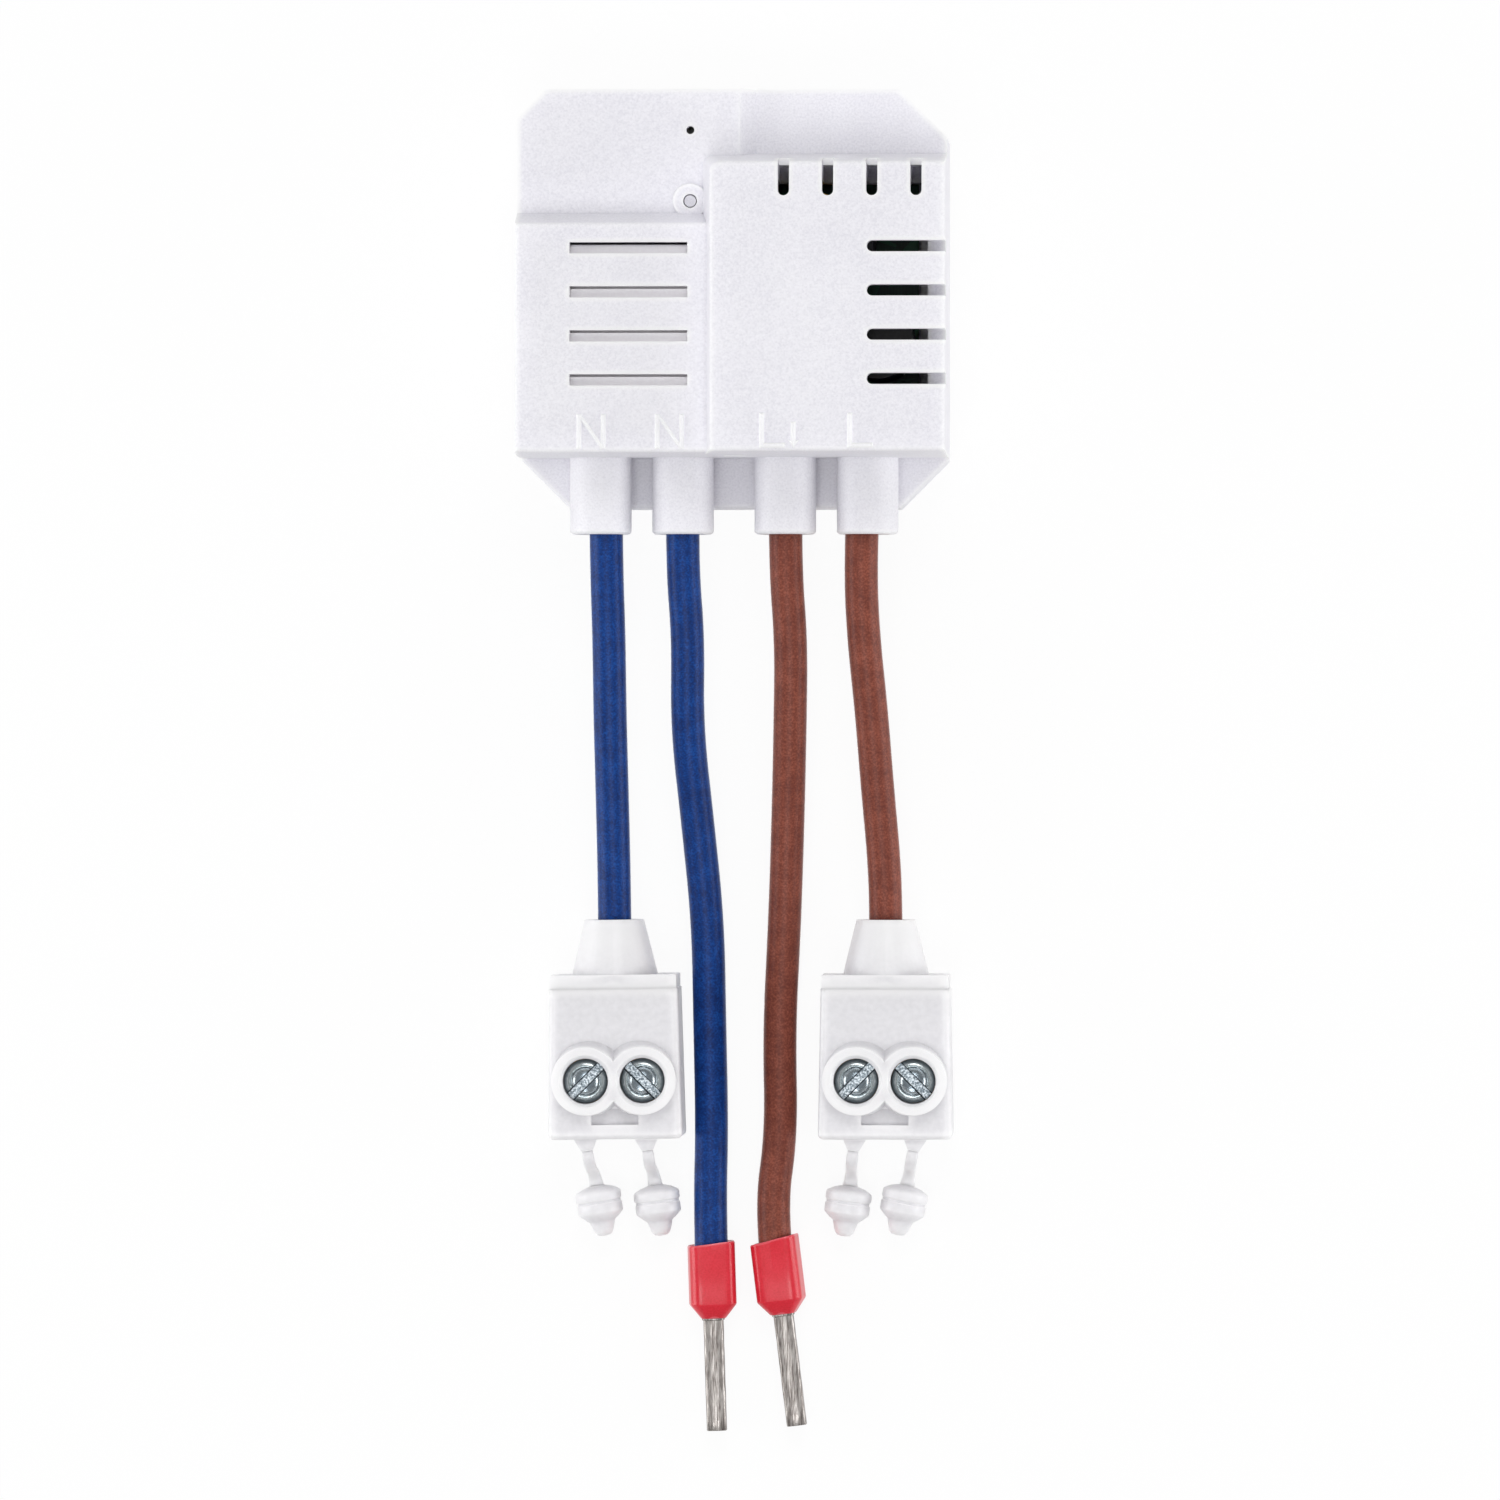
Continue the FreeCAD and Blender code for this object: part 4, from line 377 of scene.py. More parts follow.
def rounded_block(low, high, radius):
    """A box between two corners, in metres, with rounded edges."""
    made = bmesh.new()
    bmesh.ops.create_cube(made, size=1.0)
    span = Vector(high) - Vector(low)
    for vert in made.verts:
        vert.co = Vector(low) + Vector((span[i] * (vert.co[i] + 0.5) for i in range(3)))
    bmesh.ops.bevel(
        made, geom=made.edges, offset=radius, segments=3, profile=0.5, affect="EDGES"
    )
    mesh = bpy.data.meshes.new("block")
    made.to_mesh(mesh)
    made.free()
    return mesh


def add_piece(name, mesh, material, body, stands_for, sharp=35):
    """Puts a finished mesh into the scene, on its body, for the CAD nodes that it stands for."""
    mesh.name = name
    mesh.materials.clear()
    mesh.materials.append(material)
    mesh.polygons.foreach_set("use_smooth", [True] * len(mesh.polygons))
    mesh.polygons.foreach_set("material_index", [0] * len(mesh.polygons))
    mesh.set_sharp_from_angle(angle=math.radians(sharp))
    piece = bpy.data.objects.new(name, mesh)
    scene.collection.objects.link(piece)
    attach(piece, body)
    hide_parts(*stands_for)


# Glass filled polyester: a satin grey white with a fine even mottle.
relay_case = clouded(
    "grey_relay_polyester", {"Roughness": 0.38, "IOR": 1.55}, 0.3, 3.0, "#faf7fa", "#fffdff"
)
finish_nodes(relay_case, ["fuse_resistor"])

# Painted shade: grooves cut into the case's top where the vents' upper edges would cast shade on it.
shade_grooved, size = start_tree(
    "grooved_case",
    [("First", "Vector"), ("Count", "Int"), ("Step", "Vector"), ("Cut", "Vector")],
)
places = add_node(
    shade_grooved,
    "GeometryNodeMeshLine",
    {"Count": size["Count"], "Start Location": size["First"], "Offset": size["Step"]},
)
cutter = add_node(shade_grooved, "GeometryNodeMeshCube", {"Size": size["Cut"]})
row = add_node(
    shade_grooved,
    "GeometryNodeInstanceOnPoints",
    {"Points": places.outputs[0], "Instance": cutter.outputs[0]},
)
cutters = add_node(shade_grooved, "GeometryNodeRealizeInstances", {0: row.outputs[0]})
case = add_node(
    shade_grooved,
    "GeometryNodeMeshBoolean",
    {"Mesh 1": size["Mesh"], "Mesh 2": cutters.outputs[0]},
    operation="DIFFERENCE",
    solver="EXACT",
)
close_tree(shade_grooved, case.outputs[0], relay_case)
low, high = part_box("relay_case")
case_mesh = grown(
    rounded_block(low, high, RELAY_EDGE * MM),
    shade_grooved,
    {
        "First": ((low[0] + high[0]) / 2, GROOVE_FIRST * MM, high[2]),
        "Count": GROOVE_COUNT,
        "Step": (0.0, -GROOVE_PITCH * MM, 0.0),
        "Cut": ((high[0] - low[0]) * GROOVE_SHARE, GROOVE_WIDTH * MM, 2 * GROOVE_DEPTH * MM),
    },
)
add_piece("grooved_relay_case", case_mesh, relay_case, "insert", ["relay_case"])

# Black parts: the relay's foot, both electrolytic capacitors in their shrink sleeves, the converter
# chip, the header and the plunger. Glass filled plastic: near black, a little mottled, half matt.
black_plastic = clouded(
    "black_glass_filled_plastic", {"Roughness": 0.45}, 0.25, 2.0, "#131314", "#232325"
)
capacitors = ["mains_capacitor", "output_capacitor"]
finish_nodes(
    black_plastic,
    ["relay_base", *capacitors, "converter_chip", "board_header", "switch_plunger"],
)

# Transformer core: two halves of pressed ferrite powder, fired and clamped round the winding.
# Sintered ferrite: dull dark grey with fine pores.
PORE = 0.25 * MM
ferrite, tree, shader, at = start_material("sintered_ferrite", {"Roughness": 0.6})
pores = add_node(tree, "ShaderNodeTexVoronoi", {"Vector": at, "Scale": 1 / PORE})
tone = add_node(
    tree,
    "ShaderNodeValToRGB",
    {0: pores.outputs["Distance"]},
    stops=[(0.2, "#2a2a2c"), (0.8, "#3c3c3f")],
)
tree.links.new(tone.outputs[0], shader.inputs["Base Color"])
finish_nodes(ferrite, ["transformer_core"])

# Transformer winding: copper wire laid turn by turn on a flanged former, under yellow polyester tape
# that shows the ridges of the turns. The film capacitor's box has the same yellow.
FORMER_BORE = 2.0
FORMER_TUBE = 3.02
FORMER_FLANGE = 0.3
WIRE_RADIUS = 0.2
TURN_COUNT = 19
TURN_POINTS = 32
WIRE_POINTS = 8
UP = Vector((0, 0, 1))
RIGHT = Vector((1, 0, 0))


def skin(rings, loop=False):
    """A mesh through rings of equally many points, with flat ends or looped back to its start."""
    made = bmesh.new()
    rows = [[made.verts.new(point) for point in ring] for ring in rings]
    for low, high in list(zip(rows, rows[1:])) + ([(rows[-1], rows[0])] if loop else []):
        for here, beside in zip(range(len(low)), [*range(1, len(low)), 0]):
            made.faces.new((low[here], low[beside], high[beside], high[here]))
    if not loop:
        made.faces.new(rows[0])
        made.faces.new(rows[-1])
    bmesh.ops.recalc_face_normals(made, faces=made.faces)
    mesh = bpy.data.meshes.new("skin")
    made.to_mesh(mesh)
    made.free()
    return mesh


def round_steps(count):
    """Equal steps of a full turn, in radians."""
    return [2 * math.pi * i / count for i in range(count)]


def turned(profile, base, axis, side, count=64, loop=False):
    """A skin turned about an axis from (radius, along) points in mm; its seam lies at side."""
    other = axis.cross(side)
    spokes = [side * math.cos(a) + other * math.sin(a) for a in round_steps(count)]
    rings = [
        [(base + axis * along + spoke * radius) * MM for spoke in spokes]
        for radius, along in profile
    ]
    return skin(rings, loop)


# Polyester tape: bright yellow, thin and glossy, with faint clouds where it is stretched.
tape = clouded("yellow_polyester_tape", {"Roughness": 0.3}, 0.8, 2.0, "#c79b1e", "#e0bb3c")
finish_nodes(tape, ["film_capacitor"])

winding_sizes = [(label, "Float") for label in ("Turns", "Radius", "Length", "Wire")]
wound, size = start_tree("wound_former", [*winding_sizes, ("Foot", "Vector")])
spiral = add_node(
    wound,
    "GeometryNodeCurveSpiral",
    {
        "Resolution": TURN_POINTS,
        "Rotations": size["Turns"],
        "Start Radius": size["Radius"],
        "End Radius": size["Radius"],
        "Height": size["Length"],
    },
)
section = add_node(
    wound,
    "GeometryNodeCurvePrimitiveCircle",
    {"Resolution": WIRE_POINTS, "Radius": size["Wire"]},
)
wire = add_node(
    wound,
    "GeometryNodeCurveToMesh",
    {0: spiral.outputs[0], 1: section.outputs[0], "Fill Caps": True},
)
placed = add_node(
    wound,
    "GeometryNodeTransform",
    {"Geometry": wire.outputs[0], "Translation": size["Foot"]},
)
both = add_node(wound, "GeometryNodeJoinGeometry", {0: size["Mesh"]})
wound.links.new(placed.outputs[0], both.inputs[0])
close_tree(wound, both.outputs[0], tape)
low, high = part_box("transformer_winding")
foot = Vector(((low[0] + high[0]) / 2, (low[1] + high[1]) / 2, low[2])) / MM
flange = (high[0] - low[0]) / 2 / MM
top = (high[2] - low[2]) / MM
former = [
    (FORMER_BORE, 0.0), (flange, 0.0), (flange, FORMER_FLANGE), (FORMER_TUBE, FORMER_FLANGE),
    (FORMER_TUBE, top - FORMER_FLANGE), (flange, top - FORMER_FLANGE), (flange, top),
    (FORMER_BORE, top),
]
start = FORMER_FLANGE + WIRE_RADIUS
coil = grown(
    turned(former, foot, UP, RIGHT, loop=True),
    wound,
    {
        "Turns": float(TURN_COUNT),
        "Radius": (flange - WIRE_RADIUS) * MM,
        "Length": (top - 2 * start) * MM,
        "Wire": WIRE_RADIUS * MM,
        "Foot": (foot + UP * start) * MM,
    },
)
add_piece("wound_former", coil, tape, "insert", ["transformer_winding"])

# Varistor: a ceramic disc that stands on its two wires, at the end of the board where the leads come
# in. It is dipped in lacquer, which is deep blue and glossy, and slightly lumpy.
varistor = clouded("dipped_blue_lacquer", {"Roughness": 0.2}, 1.2, 2.0, "#123f78", "#1a5599")
finish_nodes(varistor, ["varistor"])

# Radio shield, antenna and tact switch frame: folded and stamped from tin plate, and soldered down.
# Tin plate: bright grey with faint rolling marks.
tin_plate = clouded(
    "tin_plated_sheet", {"Metallic": 1.0, "Roughness": 0.3}, 0.5, 3.0, "#b9b9ba", "#d3d3d2"
)
finish_nodes(tin_plate, ["radio_shield", "antenna", "tact_switch"])

# Status light: a light emitting diode on the radio board, cast in clear epoxy, under the pinhole.
# Clear epoxy: glossy, faintly yellow, and lets about half of the light through.
lens = clouded(
    "clear_epoxy_lens",
    {"Roughness": 0.1, "Transmission Weight": 0.6, "IOR": 1.5},
    0.4,
    2.0,
    "#e9e6cf",
    "#f3f1e2",
)
finish_nodes(lens, ["status_light"])

# Programming button: a thin pin guided by a round boss, with a flange under the cover that keeps it
# in. Moulded acetal: light grey and satin.
button_grey = clouded(
    "grey_acetal", {"Roughness": 0.35, "IOR": 1.48}, 0.15, 2.0, "#cfced4", "#dddce2"
)
finish_nodes(button_grey, ["program_button"])

# Screw connectors: bodies, hoods and captive caps moulded in natural polyamide. Each hood closes the
# lead's end of its body, and each body holds a brass block with two poles.
CONNECTOR_RIM_HIGHLIGHT = 1.0 * MM
MOTTLE = 0.5 * MM
STRAP_ROOTS = -73.8 * MM
STRAP_ENDS = -78.8 * MM

# Natural polyamide: white, satin and a little translucent. A painted highlight whitens it at its
# thin edges, save where the straps leave the bodies and stand clear of the table.
polyamide, tree, shader, at = start_material(
    "natural_polyamide",
    {"Roughness": 0.36, "IOR": 1.53, "Subsurface Weight": 0.6, "Subsurface Scale": 1.4 * MM},
)
shader.inputs["Subsurface Radius"].default_value = (1.0, 1.0, 1.0)
cloud = add_node(tree, "ShaderNodeTexNoise", {"Vector": at, "Scale": 1 / MOTTLE, "Detail": 3.0})
tone = add_node(
    tree, "ShaderNodeValToRGB", {0: cloud.outputs[0]}, stops=[(0.3, "#e0dfe2"), (0.7, "#e8e7ea")]
)
spot = add_node(tree, "ShaderNodeSeparateXYZ", {0: at})
along = add_node(
    tree,
    "ShaderNodeMapRange",
    {0: spot.outputs["Y"], "From Min": STRAP_ENDS, "From Max": STRAP_ROOTS},
)
# How strong the painted edge highlight is along the straps: full on the caps and bodies, none where
# the straps leave the bodies.
rim_highlight_strength = add_node(
    tree,
    "ShaderNodeValToRGB",
    {0: along.outputs[0]},
    stops=[(0.36, "#ffffff"), (0.56, "#000000"), (0.975, "#000000"), (1.0, "#ffffff")],
)
rim_highlighted = painted_rim_highlight(
    tree, tone.outputs[0], CONNECTOR_RIM_HIGHLIGHT, rim_highlight_strength.outputs[0], "#fdfcfe"
)
tree.links.new(rim_highlighted, shader.inputs["Base Color"])
finish_nodes(polyamide, [name for name in nodes if name.startswith("connector_")])

# Clamping screws: turned heads, domed round a rounded dimple, with a sawn slot and an M3 thread, in
# zinc plated steel. They stand fully open in their wells, on the pressure plates.
CONNECTORS = {"left": ((-10.85, -60.35), 0.8), "right": ((13.45, -60.35), 0.0)}
POLES = {"a": -1, "b": 1}
POLE_HALF = 2.54
POLE_DEPTH = 8.2
HEAD_TOP = 9.0
HEAD_RADIUS = 1.97
HEAD_FOOT = -1.5
SLOT_WIDTH = 0.92
SLOT_DEPTH = 0.8
SLOT_TURN = 45
SLOT_REACH = 2.4
SAW_CLEARANCE = 0.5
THREAD_PITCH = 0.5
THREAD_TURNS = 4
THREAD_ROOT = 1.16
THREAD_CREST = 1.44
SHANK_FOOT = -4.0
HEAD_PROFILE = [
    (0.02, -0.5), (0.4, -0.48), (0.8, -0.4), (1.05, -0.28), (1.2, -0.13), (1.28, -0.02), (1.33, 0.0),
    (1.45, -0.01), (1.62, -0.07), (1.78, -0.17), (1.9, -0.31), (HEAD_RADIUS, -0.5),
    (HEAD_RADIUS, HEAD_FOOT + 0.08), (1.9, HEAD_FOOT), (1.36, HEAD_FOOT),
]
THREAD_PROFILE = [
    (radius, HEAD_FOOT - THREAD_PITCH * (turn + part))
    for turn in range(THREAD_TURNS)
    for radius, part in (
        (THREAD_ROOT, 0.1), (THREAD_ROOT, 0.25), (THREAD_CREST, 0.55), (THREAD_CREST, 0.7)
    )
]
TIP_PROFILE = [(1.2, -3.75), (1.05, SHANK_FOOT)]
CHART_SPAN = 4.0
PLATE_CLOUD = 0.35 * MM
HEAD_CLOUD = 0.3 * MM
CLOUD_WANDER = 0.24
GRIT = 0.16 * MM
LATHE_PITCH = 0.11
LATHE_SHARE = 0.12


def spot_on(side, x, y, z):
    """A place on a connector, in mm: x and y from where hood and body meet, z from the table."""
    (middle_x, middle_y), turn = CONNECTORS[side]
    c, s = math.cos(math.radians(turn)), math.sin(math.radians(turn))
    return Vector((middle_x + x * c - y * s, middle_y + x * s + y * c, z))


def cut(mesh, tool):
    """The mesh with a tool mesh cut from it."""
    blank, cutter = (
        bpy.data.objects.new(label, data) for label, data in (("blank", mesh), ("tool", tool))
    )
    scene.collection.objects.link(blank)
    scene.collection.objects.link(cutter)
    saw = blank.modifiers.new("saw", "BOOLEAN")
    saw.object = cutter
    saw.operation = "DIFFERENCE"
    saw.solver = "EXACT"
    result = plain_mesh(blank)
    bpy.data.objects.remove(blank)
    bpy.data.objects.remove(cutter)
    return result


def lay_chart(mesh, origin, along, across):
    """A UV map of a part seen from above, CHART_SPAN mm wide with the origin in its middle."""
    chart = mesh.uv_layers.new(name="chart")
    for loop in mesh.loops:
        offset = mesh.vertices[loop.vertex_index].co / MM - origin
        chart.data[loop.index].uv = (
            offset.dot(along) / CHART_SPAN + 0.5,
            offset.dot(across) / CHART_SPAN + 0.5,
        )


# Zinc plated plates: bluish grey, dull in clouds about 0.35 mm wide.
zinc, tree, shader, at = start_material("zinc_plated_steel", {"Metallic": 1.0, "Roughness": 0.24})
cloud = add_node(
    tree, "ShaderNodeTexNoise", {"Vector": at, "Scale": 1 / PLATE_CLOUD, "Detail": 5.0}
)
tone = add_node(
    tree,
    "ShaderNodeValToRGB",
    {0: cloud.outputs[0]},
    stops=[(0.32, "#8f9a9c"), (0.52, "#b4bdc0"), (0.7, "#d5dbdd")],
)
tree.links.new(tone.outputs[0], shader.inputs["Base Color"])
finish_nodes(zinc, [name for name in nodes if name.startswith("pressure_plate_")])

# Zinc plated heads: their own chart gives the distance from the axis, for turning marks and for
# rings of painted reflection and painted shade on the dome and the dimple, darkest at the dimple's
# rim, and the distance from the slot's middle, for its rough floor and painted shade along its
# edges.
turned_zinc, tree, shader, at = start_material(
    "zinc_plated_turned_head", {"Metallic": 1.0, "Roughness": 0.2}
)
chart = add_node(tree, "ShaderNodeUVMap", uv_map="chart")
middle = add_node(
    tree, "ShaderNodeVectorMath", {0: chart.outputs[0], 1: (0.5, 0.5, 0.0)}, operation="SUBTRACT"
)
spread = add_node(
    tree, "ShaderNodeVectorMath", {0: middle.outputs[0], "Scale": CHART_SPAN}, operation="SCALE"
)
radius = add_node(tree, "ShaderNodeVectorMath", {0: spread.outputs[0]}, operation="LENGTH")
cloud = add_node(
    tree, "ShaderNodeTexNoise", {"Vector": at, "Scale": 1 / HEAD_CLOUD, "Detail": 4.0}
)
wander = add_node(
    tree, "ShaderNodeMath", {0: cloud.outputs[0], 1: CLOUD_WANDER}, operation="MULTIPLY"
)
place = add_node(
    tree,
    "ShaderNodeMath",
    {0: radius.outputs["Value"], 1: 0.5, 2: wander.outputs[0]},
    operation="MULTIPLY_ADD",
)
# Painted reflection and shade: light and dark rings by distance from the axis, dark at the dimple's
# rim, light on the dimple's wall and on the dome.
painted_head_rings = [
    (0.12, "#7d878e"), (0.5, "#87929a"), (0.6, "#adb8be"), (0.7, "#d6dde1"), (0.745, "#6c757a"),
    (0.79, "#8c979b"), (0.9, "#b9c1c3"), (1.0, "#858f92"),
]
painted_head_tone = add_node(tree, "ShaderNodeValToRGB", {0: place.outputs[0]}, stops=painted_head_rings)
split = add_node(tree, "ShaderNodeSeparateXYZ", {0: spread.outputs[0]})
aside = add_node(tree, "ShaderNodeMath", {0: split.outputs["Y"]}, operation="ABSOLUTE")
grit = add_node(tree, "ShaderNodeTexNoise", {"Vector": at, "Scale": 1 / GRIT, "Detail": 3.0})
grit_tone = add_node(
    tree,
    "ShaderNodeValToRGB",
    {0: grit.outputs[0]},
    stops=[(0.35, "#58626a"), (0.5, "#a2aeb6"), (0.62, "#e2e9ee")],
)
# Painted shade: the slot's rough floor darkens towards its walls.
painted_slot_edge_shade = add_node(
    tree,
    "ShaderNodeValToRGB",
    {0: aside.outputs[0]},
    stops=[(0.33, "#ffffff"), (0.4, "#4a5056"), (0.46, "#3c4248")],
)
slot_grit_and_shade = add_node(
    tree,
    "ShaderNodeMix",
    {"Factor": 1.0, "A": grit_tone.outputs[0], "B": painted_slot_edge_shade.outputs[0]},
    data_type="RGBA",
    blend_type="MULTIPLY",
)
in_slot = add_node(
    tree, "ShaderNodeMath", {0: aside.outputs[0], 1: SLOT_WIDTH / 2 + 0.01}, operation="LESS_THAN"
)
face = add_node(
    tree,
    "ShaderNodeMix",
    {
        "Factor": in_slot.outputs[0],
        "A": painted_head_tone.outputs[0],
        "B": slot_grit_and_shade.outputs["Result"],
    },
    data_type="RGBA",
)
tree.links.new(face.outputs["Result"], shader.inputs["Base Color"])
dull = add_node(
    tree, "ShaderNodeMapRange", {0: in_slot.outputs[0], "To Min": 0.2, "To Max": 0.45}
)
tree.links.new(dull.outputs[0], shader.inputs["Roughness"])
lathe = add_node(
    tree,
    "ShaderNodeMath",
    {0: radius.outputs["Value"], 1: 2 * math.pi / LATHE_PITCH},
    operation="MULTIPLY",
)
marks = add_node(tree, "ShaderNodeMath", {0: lathe.outputs[0]}, operation="SINE")
rough = add_node(
    tree,
    "ShaderNodeMath",
    {0: marks.outputs[0], 1: LATHE_SHARE, 2: grit.outputs[0]},
    operation="MULTIPLY_ADD",
)
relief = add_node(
    tree, "ShaderNodeBump", {"Height": rough.outputs[0], "Strength": 0.5, "Distance": 0.02 * MM}
)
tree.links.new(relief.outputs[0], shader.inputs["Normal"])

for side in CONNECTORS:
    for pole, sign in POLES.items():
        top = spot_on(side, sign * POLE_HALF, -POLE_DEPTH, HEAD_TOP)
        screw = turned(HEAD_PROFILE + THREAD_PROFILE + TIP_PROFILE, top, UP, RIGHT)
        angle = math.radians(-sign * SLOT_TURN)
        along = Vector((math.cos(angle), math.sin(angle), 0))
        across = Vector((-along.y, along.x, 0))
        outline = [
            top + along * SLOT_REACH * u + across * SLOT_WIDTH / 2 * v
            for u, v in ((-1, -1), (1, -1), (1, 1), (-1, 1))
        ]
        rings = [
            [(point + UP * level) * MM for point in outline]
            for level in (-SLOT_DEPTH, SAW_CLEARANCE)
        ]
        slotted = cut(screw, skin(rings))
        lay_chart(slotted, top, along, across)
        add_piece(
            f"slotted_screw_{side}_{pole}",
            slotted,
            turned_zinc,
            f"screw_{side}_{pole}",
            [f"clamp_screw_{side}_{pole}"],
        )

# Captive caps: plugs for the screw wells, with a cone, two rings and a stud, each on a flat strap
# that leaves the body's end and sags to the table. One polyamide moulding with the body.
BODY_LENGTH = 13.45
STRAP_HALF = 2.72
STRAP_LEVEL = 7.3
STRAP_HINGE = 1.39
STRAP_REACH = 2.96
STRAP_WIDTH = 1.05
STRAP_THICKNESS = 0.6
STRAP_PULL = 2.1
STRAP_SINK = 0.25
STRAP_STEPS = 24
STRAP_POINTS = 16
ROOT_SWELL = 0.03
ROOT_SHARE = 8
FLARE_WIDE = 0.35
FLARE_THICK = 0.5
FLARE_POWER = 6
SIDE_ROUNDING = 0.55
FACE_ROUNDING = 0.8
CAP_AXIS = 2.13
CAP_LEANS = {"left_a": 9.5, "left_b": 7.5, "right_a": -7.5, "right_b": -11.5}
CAP_PROFILE = [
    (0.3, 0.0), (0.72, 0.06), (1.35, 0.24), (1.86, 0.5), (2.03, 0.66), (2.07, 0.8), (2.07, 1.28),
    (2.02, 1.38), (1.94, 1.42), (1.94, 1.66), (2.0, 1.7), (2.03, 1.8), (2.03, 2.42), (1.98, 2.56),
    (1.5, 3.0), (1.2, 3.22), (1.13, 3.3), (1.08, 3.5), (0.94, 3.95), (0.8, 4.3), (0.58, 4.53),
    (0.25, 4.6),
]
CAP_POINTS = 48
KNUCKLE_RADIUS = 0.34
KNUCKLE_INSET = 0.04
KNUCKLE_STEPS = (-0.335, -0.31, -0.26, -0.18, -0.09)


def flattened(value, power):
    """A sine or cosine drawn out to a fuller curve, for a flat section with rounded sides."""
    return math.copysign(abs(value) ** power, value)


strap_section = [
    (flattened(math.cos(a), SIDE_ROUNDING), flattened(math.sin(a), FACE_ROUNDING))
    for a in round_steps(STRAP_POINTS)
]
for tag, lean in CAP_LEANS.items():
    side, pole = tag.split("_")
    angle = math.radians(lean)
    ahead = Vector((math.sin(angle), -math.cos(angle), 0))
    across = Vector((math.cos(angle), math.sin(angle), 0))
    root = spot_on(side, POLES[pole] * STRAP_HALF, -BODY_LENGTH, STRAP_LEVEL)
    hinge = root + ahead * STRAP_HINGE
    seat = Vector((hinge.x, hinge.y, CAP_AXIS)) + ahead * STRAP_REACH
    pulls = (
        hinge, hinge + ahead * STRAP_PULL, seat - ahead * STRAP_PULL, seat + ahead * STRAP_SINK
    )
    stations = []
    for along in KNUCKLE_STEPS:
        round_end = math.sqrt(KNUCKLE_RADIUS**2 - along**2)
        stations.append((hinge + ahead * along, ahead, STRAP_WIDTH / 2 - KNUCKLE_INSET, round_end))
    for step in range(STRAP_STEPS + 1):
        u = step / STRAP_STEPS
        weights = ((1 - u) ** 3, 3 * u * (1 - u) ** 2, 3 * u * u * (1 - u), u**3)
        slopes = (-((1 - u) ** 2), (1 - u) * (1 - 3 * u), u * (2 - 3 * u), u * u)
        centre = sum((pull * weight for pull, weight in zip(pulls, weights)), Vector())
        heading = sum((pull * slope for pull, slope in zip(pulls, slopes)), Vector()).normalized()
        half = STRAP_WIDTH / 2 * (1 + FLARE_WIDE * u**FLARE_POWER)
        thick = STRAP_THICKNESS / 2 * (1 + FLARE_THICK * u**FLARE_POWER)
        swell = ROOT_SWELL * max(0, 1 - ROOT_SHARE * u)
        stations.append((centre, heading, half, thick + swell))
    rings = [
        [
            (centre + across * half * c + across.cross(heading) * thick * s) * MM
            for c, s in strap_section
        ]
        for centre, heading, half, thick in stations
    ]
    both = bmesh.new()
    both.from_mesh(skin(rings))
    both.from_mesh(turned(CAP_PROFILE, seat, ahead, across, CAP_POINTS))
    mesh = bpy.data.meshes.new("cap")
    both.to_mesh(mesh)
    both.free()
    add_piece(
        f"captive_cap_{tag}", mesh, polyamide, f"cap_{tag}", [f"screw_cap_{tag}"]
    )

# Clamp blocks: one in each connector, milled from brass bar, drilled for the wires and tapped for
# the screws. Machined brass: yellow and bright, with faint cutter clouds.
brass = clouded(
    "machined_brass", {"Metallic": 1.0, "Roughness": 0.28}, 0.4, 3.0, "#b48a3c", "#d2ab5b"
)
finish_nodes(brass, ["clamp_block_left", "clamp_block_right"])

# Conductors: the bared ends of the leads, soldered to the board and clamped in the connectors.
# Bare copper: warm and bright, a little dulled in clouds.
copper = clouded(
    "bare_copper", {"Metallic": 1.0, "Roughness": 0.3}, 0.3, 3.0, "#b56a46", "#d08a62"
)
finish_nodes(copper, ["lead_conductors", "lead_core_left", "lead_core_right"])

# Solder joints: cones of tin solder that fix the conductors to the board from above.
# Bright solder: mirror grey with soft dull clouds.
solder = clouded(
    "bright_solder", {"Metallic": 1.0, "Roughness": 0.2}, 0.35, 4.0, "#b9b8b6", "#dcdbd8"
)
finish_nodes(solder, ["solder_joints"])

# Ferrules: insulated end sleeves for 1.5 mm2 strands. A red polypropylene collar, pressed to flat
# facets by the crimping tool, and a tinned copper tube crimped flat sided, with draw marks along it.
COLLAR_LENGTH = 6.75
COLLAR_TAPER = 1.25
COLLAR_POINTS = 72
COLLAR_RIM_HIGHLIGHT = 0.2 * MM
COLLAR_GRAIN = 0.16 * MM
COLLAR_FLOW = 1.8 * MM
PIN_LENGTH = 10.1
PIN_ROOT = 3.2
PIN_WAVES = 9
PIN_SPACE = 0.92
LEAD_SPACE = 1.56
SLANT_REACH = 2
FERRULES = {
    "neutral": {"mouth": (-2.35, -83.32, 2.1), "lean": 1.84, "roll": -7, "slant": 0.2},
    "load": {"mouth": (3.33, -82.96, 2.1), "lean": 7.0, "roll": 8, "slant": 0.3},
}
# The collar's eight facets: the way each faces, in degrees, and its distance from the axis.
FACETS = [(45 * i, distance) for i, distance in enumerate([2.07, 2.36, 1.84, 2.36] * 2)]
FACET_SHARPNESS = 28
